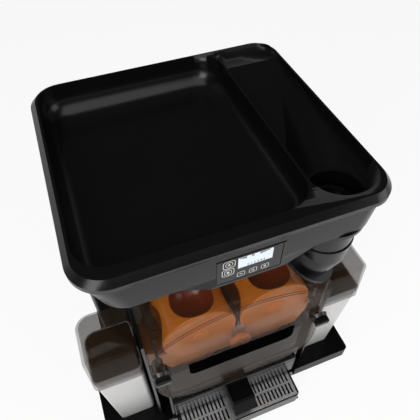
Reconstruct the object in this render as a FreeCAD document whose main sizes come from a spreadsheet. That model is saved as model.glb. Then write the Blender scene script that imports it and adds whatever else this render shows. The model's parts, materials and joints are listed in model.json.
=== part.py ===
import FreeCAD, Part
import math
import os
import re

import Sketcher
from FreeCAD import Rotation, Vector

# Automatic orange juicer for a shop counter. Millimetres, +Z up, the front faces -Y.
# The origin is at floor level, in the middle of the machine's width and depth.

SIZES = {
    # Whole machine
    "overall_width": 590, "overall_depth": 516, "rim_height": 700, "seat_gap": 0.3,
    "running_gap": 0.05, "overrun": 2,
    # Base, wings and feet
    "foot_height": 30, "foot_radius": 18, "foot_draft": 3, "foot_inset": 40,
    "base_half_width_from_side": 35, "base_front_from_end": 58, "base_slab": 30,
    "base_round": 12, "wing_top": 92, "wing_thick": 32, "wing_front_from_end": 50,
    "wing_lip": 4, "wing_lip_width": 5, "plinth_half_width": 150, "plinth_front_from_end": 64,
    "plinth_top": 196,
    # Drip tray, grille, ledge and tap
    "tray_half_width": 139, "tray_depth": 70, "tray_wall": 2.5, "tray_height": 40,
    "shelf_thick": 6, "grille_half_width": 134, "grille_thick": 3, "grille_drop": 1.5,
    "slot_length": 23, "slot_width": 4, "slot_pitch": 9, "slot_row_gap": 5, "slot_start": 33,
    "slots_per_row": 11, "ledge_half_width": 145, "ledge_top": 164, "ledge_thick": 9,
    "ledge_groove": 3, "ledge_groove_height": 152, "tap_half_width": 25, "tap_reach": 36,
    "tap_top": 152, "tap_bottom": 116, "tap_bore": 9, "lever_thick": 6, "lever_lean": 12,
    "lever_ear": 5, "lever_knuckle": 2.5, "pipe_radius": 12, "pipe_wall": 2,
    # Rear housing and back
    "housing_half_width_from_side": 63, "housing_front_from_end": 184,
    "housing_top_under_rim": 81, "housing_wall": 3, "housing_round": 10,
    "window_half_width": 150, "window_bottom": 250, "window_top": 545, "back_cover_thick": 3,
    "back_cover_edge": 1, "vent_length": 90, "vent_height": 5, "vent_pitch": 13, "vents": 9,
    "rocker_width": 22, "rocker_height": 30, "rocker_thick": 9, "rocker_stand": 3,
    "rocker_dip": 1.5, "rocker_axle": 1.5, "switch_bezel": 3, "switch_x": 165, "switch_z": 150,
    "inlet_radius": 11, "inlet_length": 16, "inlet_x": 110,
    # Frame plates, pillars, shafts and bearings
    "hub_spacing": 144, "upper_hub": 412, "hub_drop": 108, "shaft_radius": 8,
    "bearing_radius": 17, "front_plate_thick": 10, "rear_plate_thick": 8, "plate_gap": 24,
    "plate_half_width": 155, "plate_bottom": 245, "plate_top": 548, "pillar_radius": 7,
    "pillar_inset": 14,
    # Gears and motor
    "gear_module": 4, "gear_width": 12, "upper_teeth": 36, "lower_teeth": 18,
    "pinion_teeth": 12, "pressure_angle": 20, "backlash": 0.5, "gear_side_gap": 6,
    "gearbox_half": 42, "gearbox_length": 52, "motor_radius": 36, "motor_length": 96,
    "pinion_shaft": 6, "motor_boss": 20,
    # Press drums
    "drum_front_from_end": 73, "drum_length": 84, "drum_radius": 68.5, "cup_radius": 39.5,
    "cup_offset": 70.5, "press_front_from_end": 85, "press_length": 62, "press_radius": 37,
    "ball_radius": 31, "ball_offset": 37.5, "hub_ring": 22, "hub_ring_thick": 1.5,
    "hub_cap_radius": 15, "hub_cap_thick": 3, "drum_round": 3,
    # Chamber moulding, splash plate, knife, ejectors
    "chamber_half_width": 156, "chamber_wall": 6, "chamber_back_thick": 8, "chamber_top": 540,
    "chamber_bottom": 206, "cheek_top": 452, "cheek_bottom": 386, "cheek_front_from_end": 74,
    "feed_cheek_top": 430, "sleeve_radius": 22, "sleeve_length": 5, "splash_face_from_end": 80,
    "splash_thick": 2.5, "splash_bottom": 302, "splash_low_half": 131, "splash_wide_half": 150,
    "splash_wide_z": 345, "splash_top": 372, "cradle_gap": 3, "knife_thick": 1.5,
    "knife_top": 420, "knife_bottom": 380, "wedge_half": 14, "wedge_top_half": 9.5,
    "wedge_top": 398, "wedge_bottom": 362, "wedge_thick": 7, "stud_radius": 4,
    "centre_knob_z": 378, "centre_knob_radius": 21, "centre_knob_length": 12,
    "centre_knob_step": 4, "centre_knob_round": 3, "ejector_tip": 127, "ejector_tip_z": 360,
    "ejector_root_top": 384, "ejector_root_low": 336, "ejector_tip_width": 3, "ejector_slot": 5,
    "ejector_slots": 3, "ejector_post": 5,
    # Juice tank and strainer
    "tank_half_width": 146, "tank_front_from_end": 67, "tank_top": 300, "tank_wall": 2.5,
    "tank_side_top": 230, "strainer_z": 222, "strainer_thick": 2, "strainer_slot": 3,
    "strainer_pitch": 11, "strainer_slots": 22, "strainer_edge": 12,
    # Side panels
    "panel_inner": 171, "panel_thick": 5, "panel_front_from_end": 70, "panel_top": 446,
    "post_front_from_end": 164, "peel_low": 262, "peel_high": 344, "peel_front_from_end": 86,
    "peel_back_from_end": 154,
    # Clear front cover and its knobs
    "cover_half_width": 170, "cover_front_from_end": 46, "cover_back_from_end": 162,
    "cover_wall": 3, "cover_bottom": 201, "cover_crest": 524, "cover_arch": 270,
    "cover_rise_angle": 12, "cover_corner": 85, "cover_edge": 13, "cover_low_back_from_end": 64,
    "cover_low_top": 408, "knob_x": 155, "knob_z": 370, "knob_radius": 17, "knob_length": 17,
    "knob_web": 6, "knob_round": 3, "knob_stem": 4, "boss_radius": 10,
    # Feed elbow
    "elbow_x": 158, "elbow_y_from_end": 104, "elbow_bore": 43.5, "elbow_wall": 3.5,
    "flange_x": 138, "flange_radius": 59, "flange_thick": 6, "collar_radius": 56,
    "collar_thick": 7, "flange_gap": 0.8, "sleeve_joint": 562, "joint_bead": 2,
    # Hopper skirt and control panel
    "skirt_top_half": 232, "skirt_low_half": 210, "skirt_front_from_end": 51,
    "skirt_top_back_from_end": 44, "skirt_low_back_from_end": 50, "skirt_wall": 3,
    "skirt_round": 42, "chin_wide": 104, "chin_narrow": 57, "chin_drop": 25, "chin_depth": 30,
    "panel_half_width": 51.5, "panel_height": 60, "overlay_thick": 1, "overlay_round": 1,
    "overlay_edge": 1.5, "display_left": 15, "display_right": 38, "display_low_under_rim": 76,
    "display_high_under_rim": 54, "display_depth": 0.8, "key_low_under_rim": 99,
    "key_high_under_rim": 84, "key_width": 20, "key_pitch": 27, "key_first": 20,
    "key_relief": 0.4, "twin_left": 44, "twin_right": 25, "twin_low_under_rim": 97,
    "twin_high_under_rim": 54, "twin_gap": 3,
    # Hopper tray
    "hopper_half_width": 235, "hopper_half_depth_from_end": 40.5, "lip_height": 17,
    "lip_round": 9, "hopper_corner": 52, "basket_left": 222, "basket_right": 104,
    "basket_front_from_end": 67, "basket_back_from_end": 51, "basket_floor_under_rim": 55,
    "hopper_wall": 2.5, "basket_corner": 45, "basket_low_round": 36, "divider": 4,
    "lane_right": 213, "lane_front_from_end": 59, "lane_back_from_end": 55,
    "lane_high_under_rim": 4, "lane_break_from_end": 108, "lane_low_under_rim": 42,
    "lane_low_start_from_end": 153, "drop_radius": 43, "stub_bottom_under_rim": 66,
    "lane_front_round": 50, "lane_back_round": 22,
    # Peel bins and their caps
    "bin_inner": 182, "bin_outer_from_side": 23, "bin_low_outer_from_side": 35,
    "bin_front_from_end": 84, "bin_low_front_from_end": 92, "bin_back_from_end": 179,
    "bin_low_back_from_end": 176, "bin_top": 352, "bin_wall": 2, "bin_round": 9,
    "bin_bottom_wall": 2, "bin_window_low": 258, "bin_window_side": 12, "cap_top": 425,
    "cap_lip": 344, "cap_wall": 2.5, "cap_draft": 8, "cap_front_round": 12,
    "cap_back_share": 0.289, "cap_margin": 3.2, "cap_edge": 6,
}

# A size that ends in one of these words places a front, back, side or top: its distance from the
# middle or the floor is a share of the whole machine less that size.
ENDINGS = {"_from_end": "overall_depth / 2", "_from_side": "overall_width / 2",
           "_under_rim": "rim_height"}
FOLLOWERS = {name[:-len(ending)]: "=%s - %s" % (whole, name) for name in SIZES
             for ending, whole in ENDINGS.items() if name.endswith(ending)}
FOLLOWERS["cap_back_round"] = "=(bin_outer - bin_inner) * cap_back_share"

doc = FreeCAD.newDocument("orange_juicer")
sheet = doc.addObject("Spreadsheet::Sheet", "sizes")
NAMES = {**SIZES, **FOLLOWERS}
for row, (size_name, size_value) in enumerate(NAMES.items(), start=1):
    sheet.set("A%d" % row, size_name)
    sheet.set("B%d" % row, str(size_value))
    sheet.setAlias("B%d" % row, size_name)
doc.recompute()

TINY = 0.001
SIDES = (("left", -1), ("right", 1))
PLANES = {"flat": "XY_Plane", "front": "XZ_Plane", "side": "YZ_Plane"}
kept = []


# Helpers

def size(name):
    """The value of one named size, read from the sheet."""
    return float(getattr(sheet, name))


def bind(thing, path, text):
    """Tie a property to an expression of named sizes."""
    words = re.sub(r"[a-z_]+", lambda hit: "sizes." + hit.group() if hit.group() in NAMES
                   else hit.group(), text)
    thing.setExpression(path, words)


def keep(thing, label):
    """Mark an object as a finished piece of the machine."""
    thing.Label = label
    kept.append(thing)
    return thing


def block(name, x, y, z):
    """A box between pairs of expressions on each axis."""
    box = doc.addObject("Part::Box", name)
    for path, axis, (low, high) in (("Length", "x", x), ("Width", "y", y), ("Height", "z", z)):
        bind(box, path, "(%s) - (%s)" % (high, low))
        bind(box, "Placement.Base." + axis, low)
    return box


def rod(name, axis, run, centre, radius):
    """A cylinder along an axis over a run, with its centre on the two other axes."""
    pin = doc.addObject("Part::Cylinder", name)
    turns = {"x": Rotation(Vector(0, 1, 0), 90), "y": Rotation(Vector(1, 0, 0), -90),
             "z": Rotation()}
    pin.Placement = FreeCAD.Placement(Vector(), turns[axis])
    low, high = run
    bind(pin, "Radius", radius)
    bind(pin, "Height", "(%s) - (%s)" % (high, low))
    others = [letter for letter in "xyz" if letter != axis]
    bind(pin, "Placement.Base." + axis, low)
    for letter, text in zip(others, centre):
        bind(pin, "Placement.Base." + letter, text)
    return pin


def ball(name, centre, radius):
    """A sphere at three expressions."""
    sphere = doc.addObject("Part::Sphere", name)
    bind(sphere, "Radius", radius)
    for letter, text in zip("xyz", centre):
        bind(sphere, "Placement.Base." + letter, text)
    return sphere


def fuse(name, *things):
    """Several solids joined to one piece."""
    joined = doc.addObject("Part::MultiFuse", name)
    joined.Shapes = list(things)
    joined.Refine = True
    return joined


def cut(name, base, *tools):
    """A base with tools taken out of it."""
    result = doc.addObject("Part::Cut", name)
    result.Base = base
    result.Tool = tools[0] if len(tools) == 1 else fuse(name + "_tools", *tools)
    return result


def group(name, *things):
    """Separate solids kept as one sub-part."""
    together = doc.addObject("Part::Compound", name)
    together.Links = list(things)
    return together


def plane_of(body, view):
    """One of a body's own origin planes."""
    return [item for item in body.Origin.OriginFeatures if item.Role == PLANES[view]][0]


def outline(body, view, level, corners):
    """A closed straight-sided outline at a level; its corners are pairs of expressions."""
    sketch = body.newObject("Sketcher::SketchObject", body.Name + "_outline")
    sketch.AttachmentSupport = (plane_of(body, view), [""])
    sketch.MapMode = "FlatFace"
    bind(sketch, "AttachmentOffset.Base.z", "-(%s)" % level if view == "front" else level)
    count = len(corners)
    ring = [Vector(math.cos(2 * math.pi * step / count), math.sin(2 * math.pi * step / count), 0)
            for step in range(count)]
    for step in range(count):
        sketch.addGeometry(Part.LineSegment(ring[step], ring[(step + 1) % count]), False)
    for step in range(count):
        sketch.addConstraint(Sketcher.Constraint("Coincident", step, 2, (step + 1) % count, 1))
    for step, (across, up) in enumerate(corners):
        for kind, text, start in (("DistanceX", across, ring[step].x),
                                  ("DistanceY", up, ring[step].y)):
            place = sketch.addConstraint(Sketcher.Constraint(kind, -1, 1, step, 1, start))
            bind(sketch, "Constraints[%d]" % place, text)
    return sketch


def prism(name, view, run, corners):
    """A body padded from an outline over a run along the axis that the view looks along."""
    body = doc.addObject("PartDesign::Body", name)
    low, high = run
    sketch = outline(body, view, high if view == "front" else low, corners)
    pad = body.newObject("PartDesign::Pad", name + "_pad")
    pad.Profile = sketch
    bind(pad, "Length", "(%s) - (%s)" % (high, low))
    body.Tip = pad
    return body


def tapered(name, low, low_x, low_y, high, high_x, high_y):
    """A block with sloping sides between a lower and an upper rectangle."""
    def wall(word, view, near, far, crosswise):
        reach = ("min(%s; %s)" % (crosswise[0][0], crosswise[1][0]),
                 "max(%s; %s)" % (crosswise[0][1], crosswise[1][1]))
        return prism(name + word, view, reach, [(near[0], low), (near[1], low),
                                                (far[1], high), (far[0], high)])

    common = doc.addObject("Part::MultiCommon", name)
    common.Shapes = [wall("_across", "front", low_x, high_x, (low_y, high_y)),
                     wall("_deep", "side", low_y, high_y, (low_x, high_x))]
    common.Refine = True
    return common


def turned(name, x, z, steps):
    """A body revolved about a line along Y; steps are pairs of y and radius expressions."""
    body = doc.addObject("PartDesign::Body", name)
    sketch = outline(body, "side", "0", [(along, out) for along, out in steps])
    spin = body.newObject("PartDesign::Revolution", name + "_turn")
    spin.Profile = sketch
    spin.ReferenceAxis = (sketch, ["H_Axis"])
    spin.Angle = 360
    body.Tip = spin
    bind(body, "Placement.Base.x", x)
    bind(body, "Placement.Base.z", z)
    return body


def rounded(name, base, radius, pick):
    """Fillets on the edges that a test picks."""
    doc.recompute()
    fillet = doc.addObject("Part::Fillet", name)
    fillet.Base = base
    amount = size(radius) if isinstance(radius, str) else radius
    chosen = [number for number, edge in enumerate(base.Shape.Edges, start=1) if pick(edge)]
    fillet.Edges = [(number, amount, amount) for number in chosen]
    return fillet


def upright(edge):
    """Edges that climb the full height of a walled form."""
    box = edge.BoundBox
    return box.ZLength > max(box.XLength, box.YLength)


def along_depth(edge):
    """Edges that run from front to back."""
    box = edge.BoundBox
    return box.XLength < TINY and box.ZLength < TINY


def flat_at(level):
    """A test for level edges at one height."""
    def test(edge):
        box = edge.BoundBox
        return box.ZLength < TINY and abs(box.ZMin - level) < TINY
    return test


def face_at_front(level):
    """A test for edges that lie in one plane across the front."""
    def test(edge):
        box = edge.BoundBox
        return box.YLength < TINY and abs(box.YMin - level) < TINY
    return test


def mirror_span(side, near, far):
    """A run from near to far on the right, or the same run mirrored on the left."""
    return (near, far) if side > 0 else ("-(%s)" % far, "-(%s)" % near)


def signed(side, text):
    """An expression, negated on the left side."""
    return text if side > 0 else "-(%s)" % text


def free_shape(label, shape, place=Vector()):
    """A piece whose shape is worked out from the sheet's sizes in code."""
    piece = doc.addObject("Part::Feature", label)
    piece.Shape = shape
    piece.Placement = FreeCAD.Placement(place, Rotation())
    return keep(piece, label)


# Base

def base_housing():
    slab = block("base_slab_block", ("-base_half_width", "base_half_width"),
                 ("-base_front", "overall_depth / 2 - back_cover_thick"),
                 ("foot_height", "foot_height + base_slab"))
    doc.recompute()
    slab = rounded("base_slab_round", slab, "base_round", upright)
    shelf = block("tray_shelf", ("-tray_half_width - wing_lip", "tray_half_width + wing_lip"),
                  ("-overall_depth / 2 + wing_lip", "-base_front + overrun"),
                  ("foot_height", "foot_height + shelf_thick"))
    bay = block("tray_bay", ("-tray_half_width - seat_gap", "tray_half_width + seat_gap"),
                ("-overall_depth / 2", "-overall_depth / 2 + tray_depth + seat_gap"),
                ("foot_height + shelf_thick", "foot_height + base_slab + overrun"))
    plinth = block("plinth", ("-plinth_half_width", "plinth_half_width"),
                   ("-plinth_front", "-housing_front - front_plate_thick - chamber_back_thick"),
                   ("foot_height + base_slab", "plinth_top"))
    hollow = block("plinth_hollow",
                   ("-plinth_half_width + chamber_wall", "plinth_half_width - chamber_wall"),
                   ("-plinth_front + chamber_wall",
                    "-housing_front - front_plate_thick - chamber_back_thick + overrun"),
                   ("foot_height + base_slab + chamber_wall", "plinth_top - chamber_wall"))
    drain = rod("plinth_drain", "z", ("plinth_top - chamber_wall - overrun",
                                      "plinth_top + overrun"),
                ("0", "-plinth_front + chamber_wall + pipe_radius + overrun"),
                "pipe_radius + seat_gap")
    spout = rod("plinth_spout", "y", ("-plinth_front - overrun",
                                      "-plinth_front + chamber_wall + overrun"),
                ("0", "(tap_top + tap_bottom) / 2"), "pipe_radius + seat_gap")
    raised = block("tray_clearance", ("-tray_half_width - seat_gap", "tray_half_width + seat_gap"),
                   ("-plinth_front - overrun", "-overall_depth / 2 + tray_depth + seat_gap"),
                   ("foot_height + base_slab - overrun", "wing_top - grille_thick"))
    body = fuse("base_whole", slab, shelf, plinth)
    keep(cut("base_cut", body, bay, hollow, drain, spout, raised), "base_housing")


def wing_trays():
    wings = []
    for word, side in SIDES:
        plate = block(word + "_wing", mirror_span(side, "plinth_half_width",
                                                  "overall_width / 2"),
                      ("-wing_front", "-housing_front"),
                      ("foot_height + base_slab", "foot_height + base_slab + wing_thick"))
        lip = block(word + "_wing_lip", mirror_span(side, "plinth_half_width",
                                                    "overall_width / 2"),
                    ("-wing_front", "-wing_front + wing_lip_width"),
                    ("foot_height + base_slab + wing_thick",
                     "foot_height + base_slab + wing_thick + wing_lip"))
        front = rounded(word + "_wing_round", fuse(word + "_wing_whole", plate, lip),
                        "base_round", lambda edge: upright(edge)
                        and abs(edge.BoundBox.YMin + size("wing_front")) < TINY
                        and abs(edge.BoundBox.XMin) > size("base_half_width"))
        wings.append(front)
    keep(group("wings", *wings), "wing_trays")


def rubber_feet():
    feet = []
    for word, side in SIDES:
        for place, depth in (("front", "-base_front + foot_inset"),
                             ("back", "overall_depth / 2 - foot_inset")):
            foot = doc.addObject("Part::Cone", word + "_" + place + "_foot")
            bind(foot, "Radius1", "foot_radius - foot_draft")
            bind(foot, "Radius2", "foot_radius")
            bind(foot, "Height", "foot_height")
            bind(foot, "Placement.Base.x", signed(side, "base_half_width - foot_inset"))
            bind(foot, "Placement.Base.y", depth)
            feet.append(foot)
    keep(group("feet", *feet), "rubber_feet")


# Drip tray, ledge and tap

TRAY_X = ("-tray_half_width", "tray_half_width")
TRAY_Y = ("-overall_depth / 2", "-overall_depth / 2 + tray_depth")


def drip_tray():
    outer = block("tray_outer", TRAY_X, TRAY_Y,
                  ("foot_height + shelf_thick + seat_gap",
                   "foot_height + shelf_thick + seat_gap + tray_height"))
    outer = rounded("tray_round", outer, "lip_round", lambda edge: upright(edge)
                    and edge.BoundBox.YMax < -size("base_front"))
    room = block("tray_room", ("-tray_half_width + tray_wall", "tray_half_width - tray_wall"),
                 ("-overall_depth / 2 + tray_wall", "-overall_depth / 2 + tray_depth - tray_wall"),
                 ("foot_height + shelf_thick + seat_gap + tray_wall",
                  "foot_height + shelf_thick + seat_gap + tray_height + overrun"))
    ridge = block("tray_ridge", ("-grille_half_width + wing_lip", "grille_half_width - wing_lip"),
                  ("-overall_depth / 2 + tray_depth / 2 - tray_wall / 2",
                   "-overall_depth / 2 + tray_depth / 2 + tray_wall / 2"),
                  ("foot_height + shelf_thick + seat_gap + tray_wall / 2",
                   "foot_height + shelf_thick + seat_gap + tray_height"
                   " - grille_thick + grille_drop - seat_gap"))
    keep(fuse("tray_whole", cut("tray_shell", outer, room), ridge), "drip_tray")


def drip_grille():
    low = "foot_height + shelf_thick + seat_gap + tray_height - grille_thick + grille_drop"
    depth = ("-overall_depth / 2 + tray_wall + seat_gap",
             "-overall_depth / 2 + tray_depth - tray_wall - seat_gap")
    plate = block("grille_plate", ("-grille_half_width", "grille_half_width"), depth,
                  (low, low + " + grille_thick"))
    slots = []
    for word, side in SIDES:
        for row in range(2):
            middle = "-overall_depth / 2 + tray_depth / 2 + (%d) * (slot_length + slot_row_gap) / 2"
            start = middle % (2 * row - 1)
            for step in range(int(size("slots_per_row"))):
                near = "slot_start + %d * slot_pitch" % step
                slots.append(block("%s_slot_%d_%d" % (word, row, step),
                                   mirror_span(side, near, near + " + slot_width"),
                                   (start + " - slot_length / 2", start + " + slot_length / 2"),
                                   (low + " - overrun", low + " + grille_thick + overrun")))
    keep(cut("grille_cut", plate, *slots), "drip_grille")


def front_ledge():
    panel = block("ledge_panel", ("-ledge_half_width", "ledge_half_width"),
                  ("-plinth_front - ledge_thick - seat_gap", "-plinth_front - seat_gap"),
                  ("wing_top", "ledge_top"))
    panel = rounded("ledge_round", panel, "ledge_groove", face_at_front(
        -size("plinth_front") - size("ledge_thick") - size("seat_gap")))
    groove = block("ledge_slot", ("-ledge_half_width - overrun", "ledge_half_width + overrun"),
                   ("-plinth_front - ledge_thick - seat_gap - overrun",
                    "-plinth_front - ledge_thick - seat_gap + ledge_groove"),
                   ("ledge_groove_height - ledge_groove", "ledge_groove_height"))
    hole = rod("ledge_hole", "y", ("-plinth_front - ledge_thick - overrun",
                                   "-plinth_front + overrun"),
               ("0", "(tap_top + tap_bottom) / 2"), "pipe_radius + seat_gap")
    keep(cut("ledge_cut", panel, groove, hole), "front_ledge")


LEDGE_FACE = "-plinth_front - ledge_thick - seat_gap"


def tap():
    bulk = prism("tap_bulk", "side", ("-tap_half_width", "tap_half_width"), [
        (LEDGE_FACE, "tap_bottom"), (LEDGE_FACE, "tap_top"),
        (LEDGE_FACE + " - tap_reach", "tap_top"),
        (LEDGE_FACE + " - tap_reach - lever_lean + lever_thick", "tap_bottom")])
    nozzle = rod("tap_nozzle", "z", ("tap_bottom - tap_bore", "tap_bottom + overrun"),
                 ("0", LEDGE_FACE + " - tap_reach / 2"), "tap_bore + pipe_wall")
    bore = rod("tap_way", "z", ("tap_bottom - tap_bore - overrun", "tap_bottom + tap_bore"),
               ("0", LEDGE_FACE + " - tap_reach / 2"), "tap_bore")
    tail = rod("tap_tail", "y", (LEDGE_FACE + " - overrun", "-plinth_front + chamber_wall"),
               ("0", "(tap_top + tap_bottom) / 2"), "pipe_radius")
    face = LEDGE_FACE + " - tap_reach - seat_gap"
    groove = rod("knuckle_groove", "x", ("-tap_half_width - overrun", "tap_half_width + overrun"),
                 (face, "tap_top"), "lever_knuckle + seat_gap")
    keep(cut("tap_cut", fuse("tap_solid", bulk, nozzle, tail), bore, groove), "tap_body")
    lever = prism("lever_plate", "side", ("-tap_half_width", "tap_half_width"), [
        (face, "tap_top"), (face + " - lever_thick", "tap_top - lever_ear / 2"),
        (face + " - lever_lean - lever_thick", "tap_bottom"),
        (face + " - lever_lean", "tap_bottom")])
    knuckle = rod("lever_hinge", "x", ("-tap_half_width", "tap_half_width"), (face, "tap_top"),
                  "lever_knuckle")
    keep(fuse("lever_whole", lever, knuckle), "tap_lever")


def outlet_pipe():
    centre = "-plinth_front + chamber_wall + pipe_radius + overrun"
    level = "(tap_top + tap_bottom) / 2"
    outer = rod("outlet_rise", "z", (level, "plinth_top"), ("0", centre), "pipe_radius")
    run = rod("outlet_run", "y", ("-plinth_front + chamber_wall", centre), ("0", level),
              "pipe_radius")
    elbow = ball("outlet_turn", ("0", centre, level), "pipe_radius")
    bore = rod("outlet_bore", "z", (level, "plinth_top + seat_gap"), ("0", centre),
               "pipe_radius - pipe_wall")
    keep(cut("outlet_cut", fuse("outlet_solid", outer, run, elbow), bore), "outlet_pipe")


# Rear housing

BACK = "overall_depth / 2 - back_cover_thick"


def rear_housing():
    shell = block("housing_block", ("-housing_half_width", "housing_half_width"),
                  ("-housing_front", BACK), ("foot_height + base_slab", "housing_top"))
    shell = rounded("housing_round", shell, "housing_round", upright)
    room = block("housing_room",
                 ("-housing_half_width + housing_wall", "housing_half_width - housing_wall"),
                 ("-housing_front + housing_wall", BACK + " + overrun"),
                 ("foot_height + base_slab + housing_wall", "housing_top - housing_wall"))
    window = block("housing_window", ("-window_half_width", "window_half_width"),
                   ("-housing_front - overrun", "-housing_front + housing_wall + overrun"),
                   ("window_bottom", "window_top"))
    keep(cut("housing_cut", shell, room, window), "rear_housing")


def rear_cover():
    plate = block("cover_plate",
                  ("-housing_half_width + back_cover_edge", "housing_half_width - back_cover_edge"),
                  (BACK, "overall_depth / 2"),
                  ("foot_height + base_slab + back_cover_edge", "housing_top - back_cover_edge"))
    plate = rounded("cover_plate_round", plate, "base_round",
                    along_depth)
    cuts = []
    for step in range(int(size("vents"))):
        level = "housing_top - vent_length - %d * vent_pitch" % step
        for word, side in SIDES:
            cuts.append(block("%s_vent_%d" % (word, step),
                              mirror_span(side, "vent_pitch", "vent_pitch + vent_length"),
                              (BACK + " - overrun", "overall_depth / 2 + overrun"),
                              (level, level + " + vent_height")))
    cuts.append(block("switch_hole",
                      ("-switch_x - rocker_width / 2 - switch_bezel",
                       "-switch_x + rocker_width / 2 + switch_bezel"),
                      (BACK + " - overrun", "overall_depth / 2 + overrun"),
                      ("switch_z - rocker_height / 2 - switch_bezel",
                       "switch_z + rocker_height / 2 + switch_bezel")))
    cuts.append(rod("inlet_hole", "y", (BACK + " - overrun", "overall_depth / 2 + overrun"),
                    ("-inlet_x", "switch_z"), "inlet_radius"))
    keep(cut("cover_plate_cut", plate, *cuts), "rear_cover")


def power_switch():
    outer = block("switch_frame_block",
                  ("-switch_x - rocker_width / 2 - switch_bezel + seat_gap",
                   "-switch_x + rocker_width / 2 + switch_bezel - seat_gap"),
                  ("overall_depth / 2 - rocker_thick - switch_bezel", "overall_depth / 2"),
                  ("switch_z - rocker_height / 2 - switch_bezel + seat_gap",
                   "switch_z + rocker_height / 2 + switch_bezel - seat_gap"))
    well = block("switch_well",
                 ("-switch_x - rocker_width / 2", "-switch_x + rocker_width / 2"),
                 ("overall_depth / 2 - rocker_thick", "overall_depth / 2 + overrun"),
                 ("switch_z - rocker_height / 2", "switch_z + rocker_height / 2"))
    middle = "overall_depth / 2 - rocker_thick / 2"

    def axle(name, reach, radius):
        return rod(name, "x", ("-switch_x - rocker_width / 2 - " + reach,
                               "-switch_x + rocker_width / 2 + " + reach),
                   (middle + " - rocker_dip", "switch_z"), radius)

    keep(cut("switch_frame_cut", outer, well,
             axle("axle_hole", "(switch_bezel / 2 + seat_gap)", "rocker_axle + running_gap")),
         "switch_frame")
    rocker = prism("rocker_body", "side",
                   ("-switch_x - rocker_width / 2 + seat_gap * 2",
                    "-switch_x + rocker_width / 2 - seat_gap * 2"),
                   [(middle, "switch_z - rocker_height / 2 + rocker_stand"),
                    ("overall_depth / 2 - rocker_stand",
                     "switch_z - rocker_height / 2 + rocker_stand"),
                    ("overall_depth / 2 - rocker_stand - rocker_dip", "switch_z"),
                    ("overall_depth / 2 - rocker_dip",
                     "switch_z + rocker_height / 2 - rocker_stand"),
                    (middle, "switch_z + rocker_height / 2 - rocker_stand"),
                    (middle + " - rocker_dip", "switch_z")])
    keep(fuse("rocker_whole", rocker, axle("rocker_axle_rod", "switch_bezel / 2",
                                           "rocker_axle")), "power_switch")


def power_inlet():
    gland = rod("gland_outer", "y", (BACK + " - inlet_length", "overall_depth / 2"),
                ("-inlet_x", "switch_z"), "inlet_radius - seat_gap")
    bore = rod("gland_bore", "y", (BACK + " - inlet_length - overrun",
                                   "overall_depth / 2 + overrun"),
               ("-inlet_x", "switch_z"), "inlet_radius / 2")
    keep(cut("gland_cut", gland, bore), "power_inlet")


# Frame plates, pillars, bearings and shafts

PLATE_FRONT = ("-housing_front - front_plate_thick", "-housing_front")
PLATE_REAR = ("-housing_front + plate_gap", "-housing_front + plate_gap + rear_plate_thick")
HUBS = (("upper_left", -1, "upper_hub"), ("upper_right", 1, "upper_hub"),
        ("lower_left", -1, "upper_hub - hub_drop"), ("lower_right", 1, "upper_hub - hub_drop"))
MOTOR_Z = "upper_hub + gear_module * (upper_teeth + pinion_teeth) / 2"


def frame_plate(label, run, motor_hole):
    plate = block(label + "_block", ("-plate_half_width", "plate_half_width"), run,
                  ("plate_bottom", "plate_top"))
    holes = [rod("%s_%s_hole" % (label, word), "y",
                 ("%s - overrun" % run[0], "%s + overrun" % run[1]),
                 (signed(side, "hub_spacing / 2"), level), "bearing_radius")
             for word, side, level in HUBS]
    if motor_hole:
        holes.append(rod(label + "_motor_hole", "y",
                         ("%s - overrun" % run[0], "%s + overrun" % run[1]),
                         ("hub_spacing / 2", MOTOR_Z), "motor_boss + seat_gap"))
    keep(cut(label + "_cut", plate, *holes), label)


def frame_pillars():
    pillars = []
    for word, side in SIDES:
        for place, level in (("low", "plate_bottom + pillar_inset"),
                             ("high", "plate_top - pillar_inset")):
            pillars.append(rod("%s_%s_pillar" % (word, place), "y",
                               (PLATE_FRONT[1], PLATE_REAR[0]),
                               (signed(side, "plate_half_width - pillar_inset"), level),
                               "pillar_radius"))
    keep(group("pillars", *pillars), "frame_pillars")


def bearings_and_shafts():
    rings = []
    for word, side, level in HUBS:
        centre = (signed(side, "hub_spacing / 2"), level)
        for place, run in (("front", PLATE_FRONT), ("rear", PLATE_REAR)):
            outer = rod("%s_%s_ring" % (word, place), "y", run, centre, "bearing_radius")
            bore = rod("%s_%s_bore" % (word, place), "y",
                       ("%s - overrun" % run[0], "%s + overrun" % run[1]), centre,
                       "shaft_radius + running_gap")
            rings.append(cut("%s_%s_bearing" % (word, place), outer, bore))
        front = ("-drum_front - hub_ring_thick" if word.startswith("upper")
                 else "-press_front")
        keep(rod(word + "_rod", "y", (front, PLATE_REAR[1] + " + overrun"), centre,
                 "shaft_radius"), word + "_shaft")
    keep(group("bearings", *rings), "shaft_bearings")


# Gears and motor

def involute(angle):
    """The involute of a pressure angle."""
    return math.tan(angle) - angle


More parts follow.
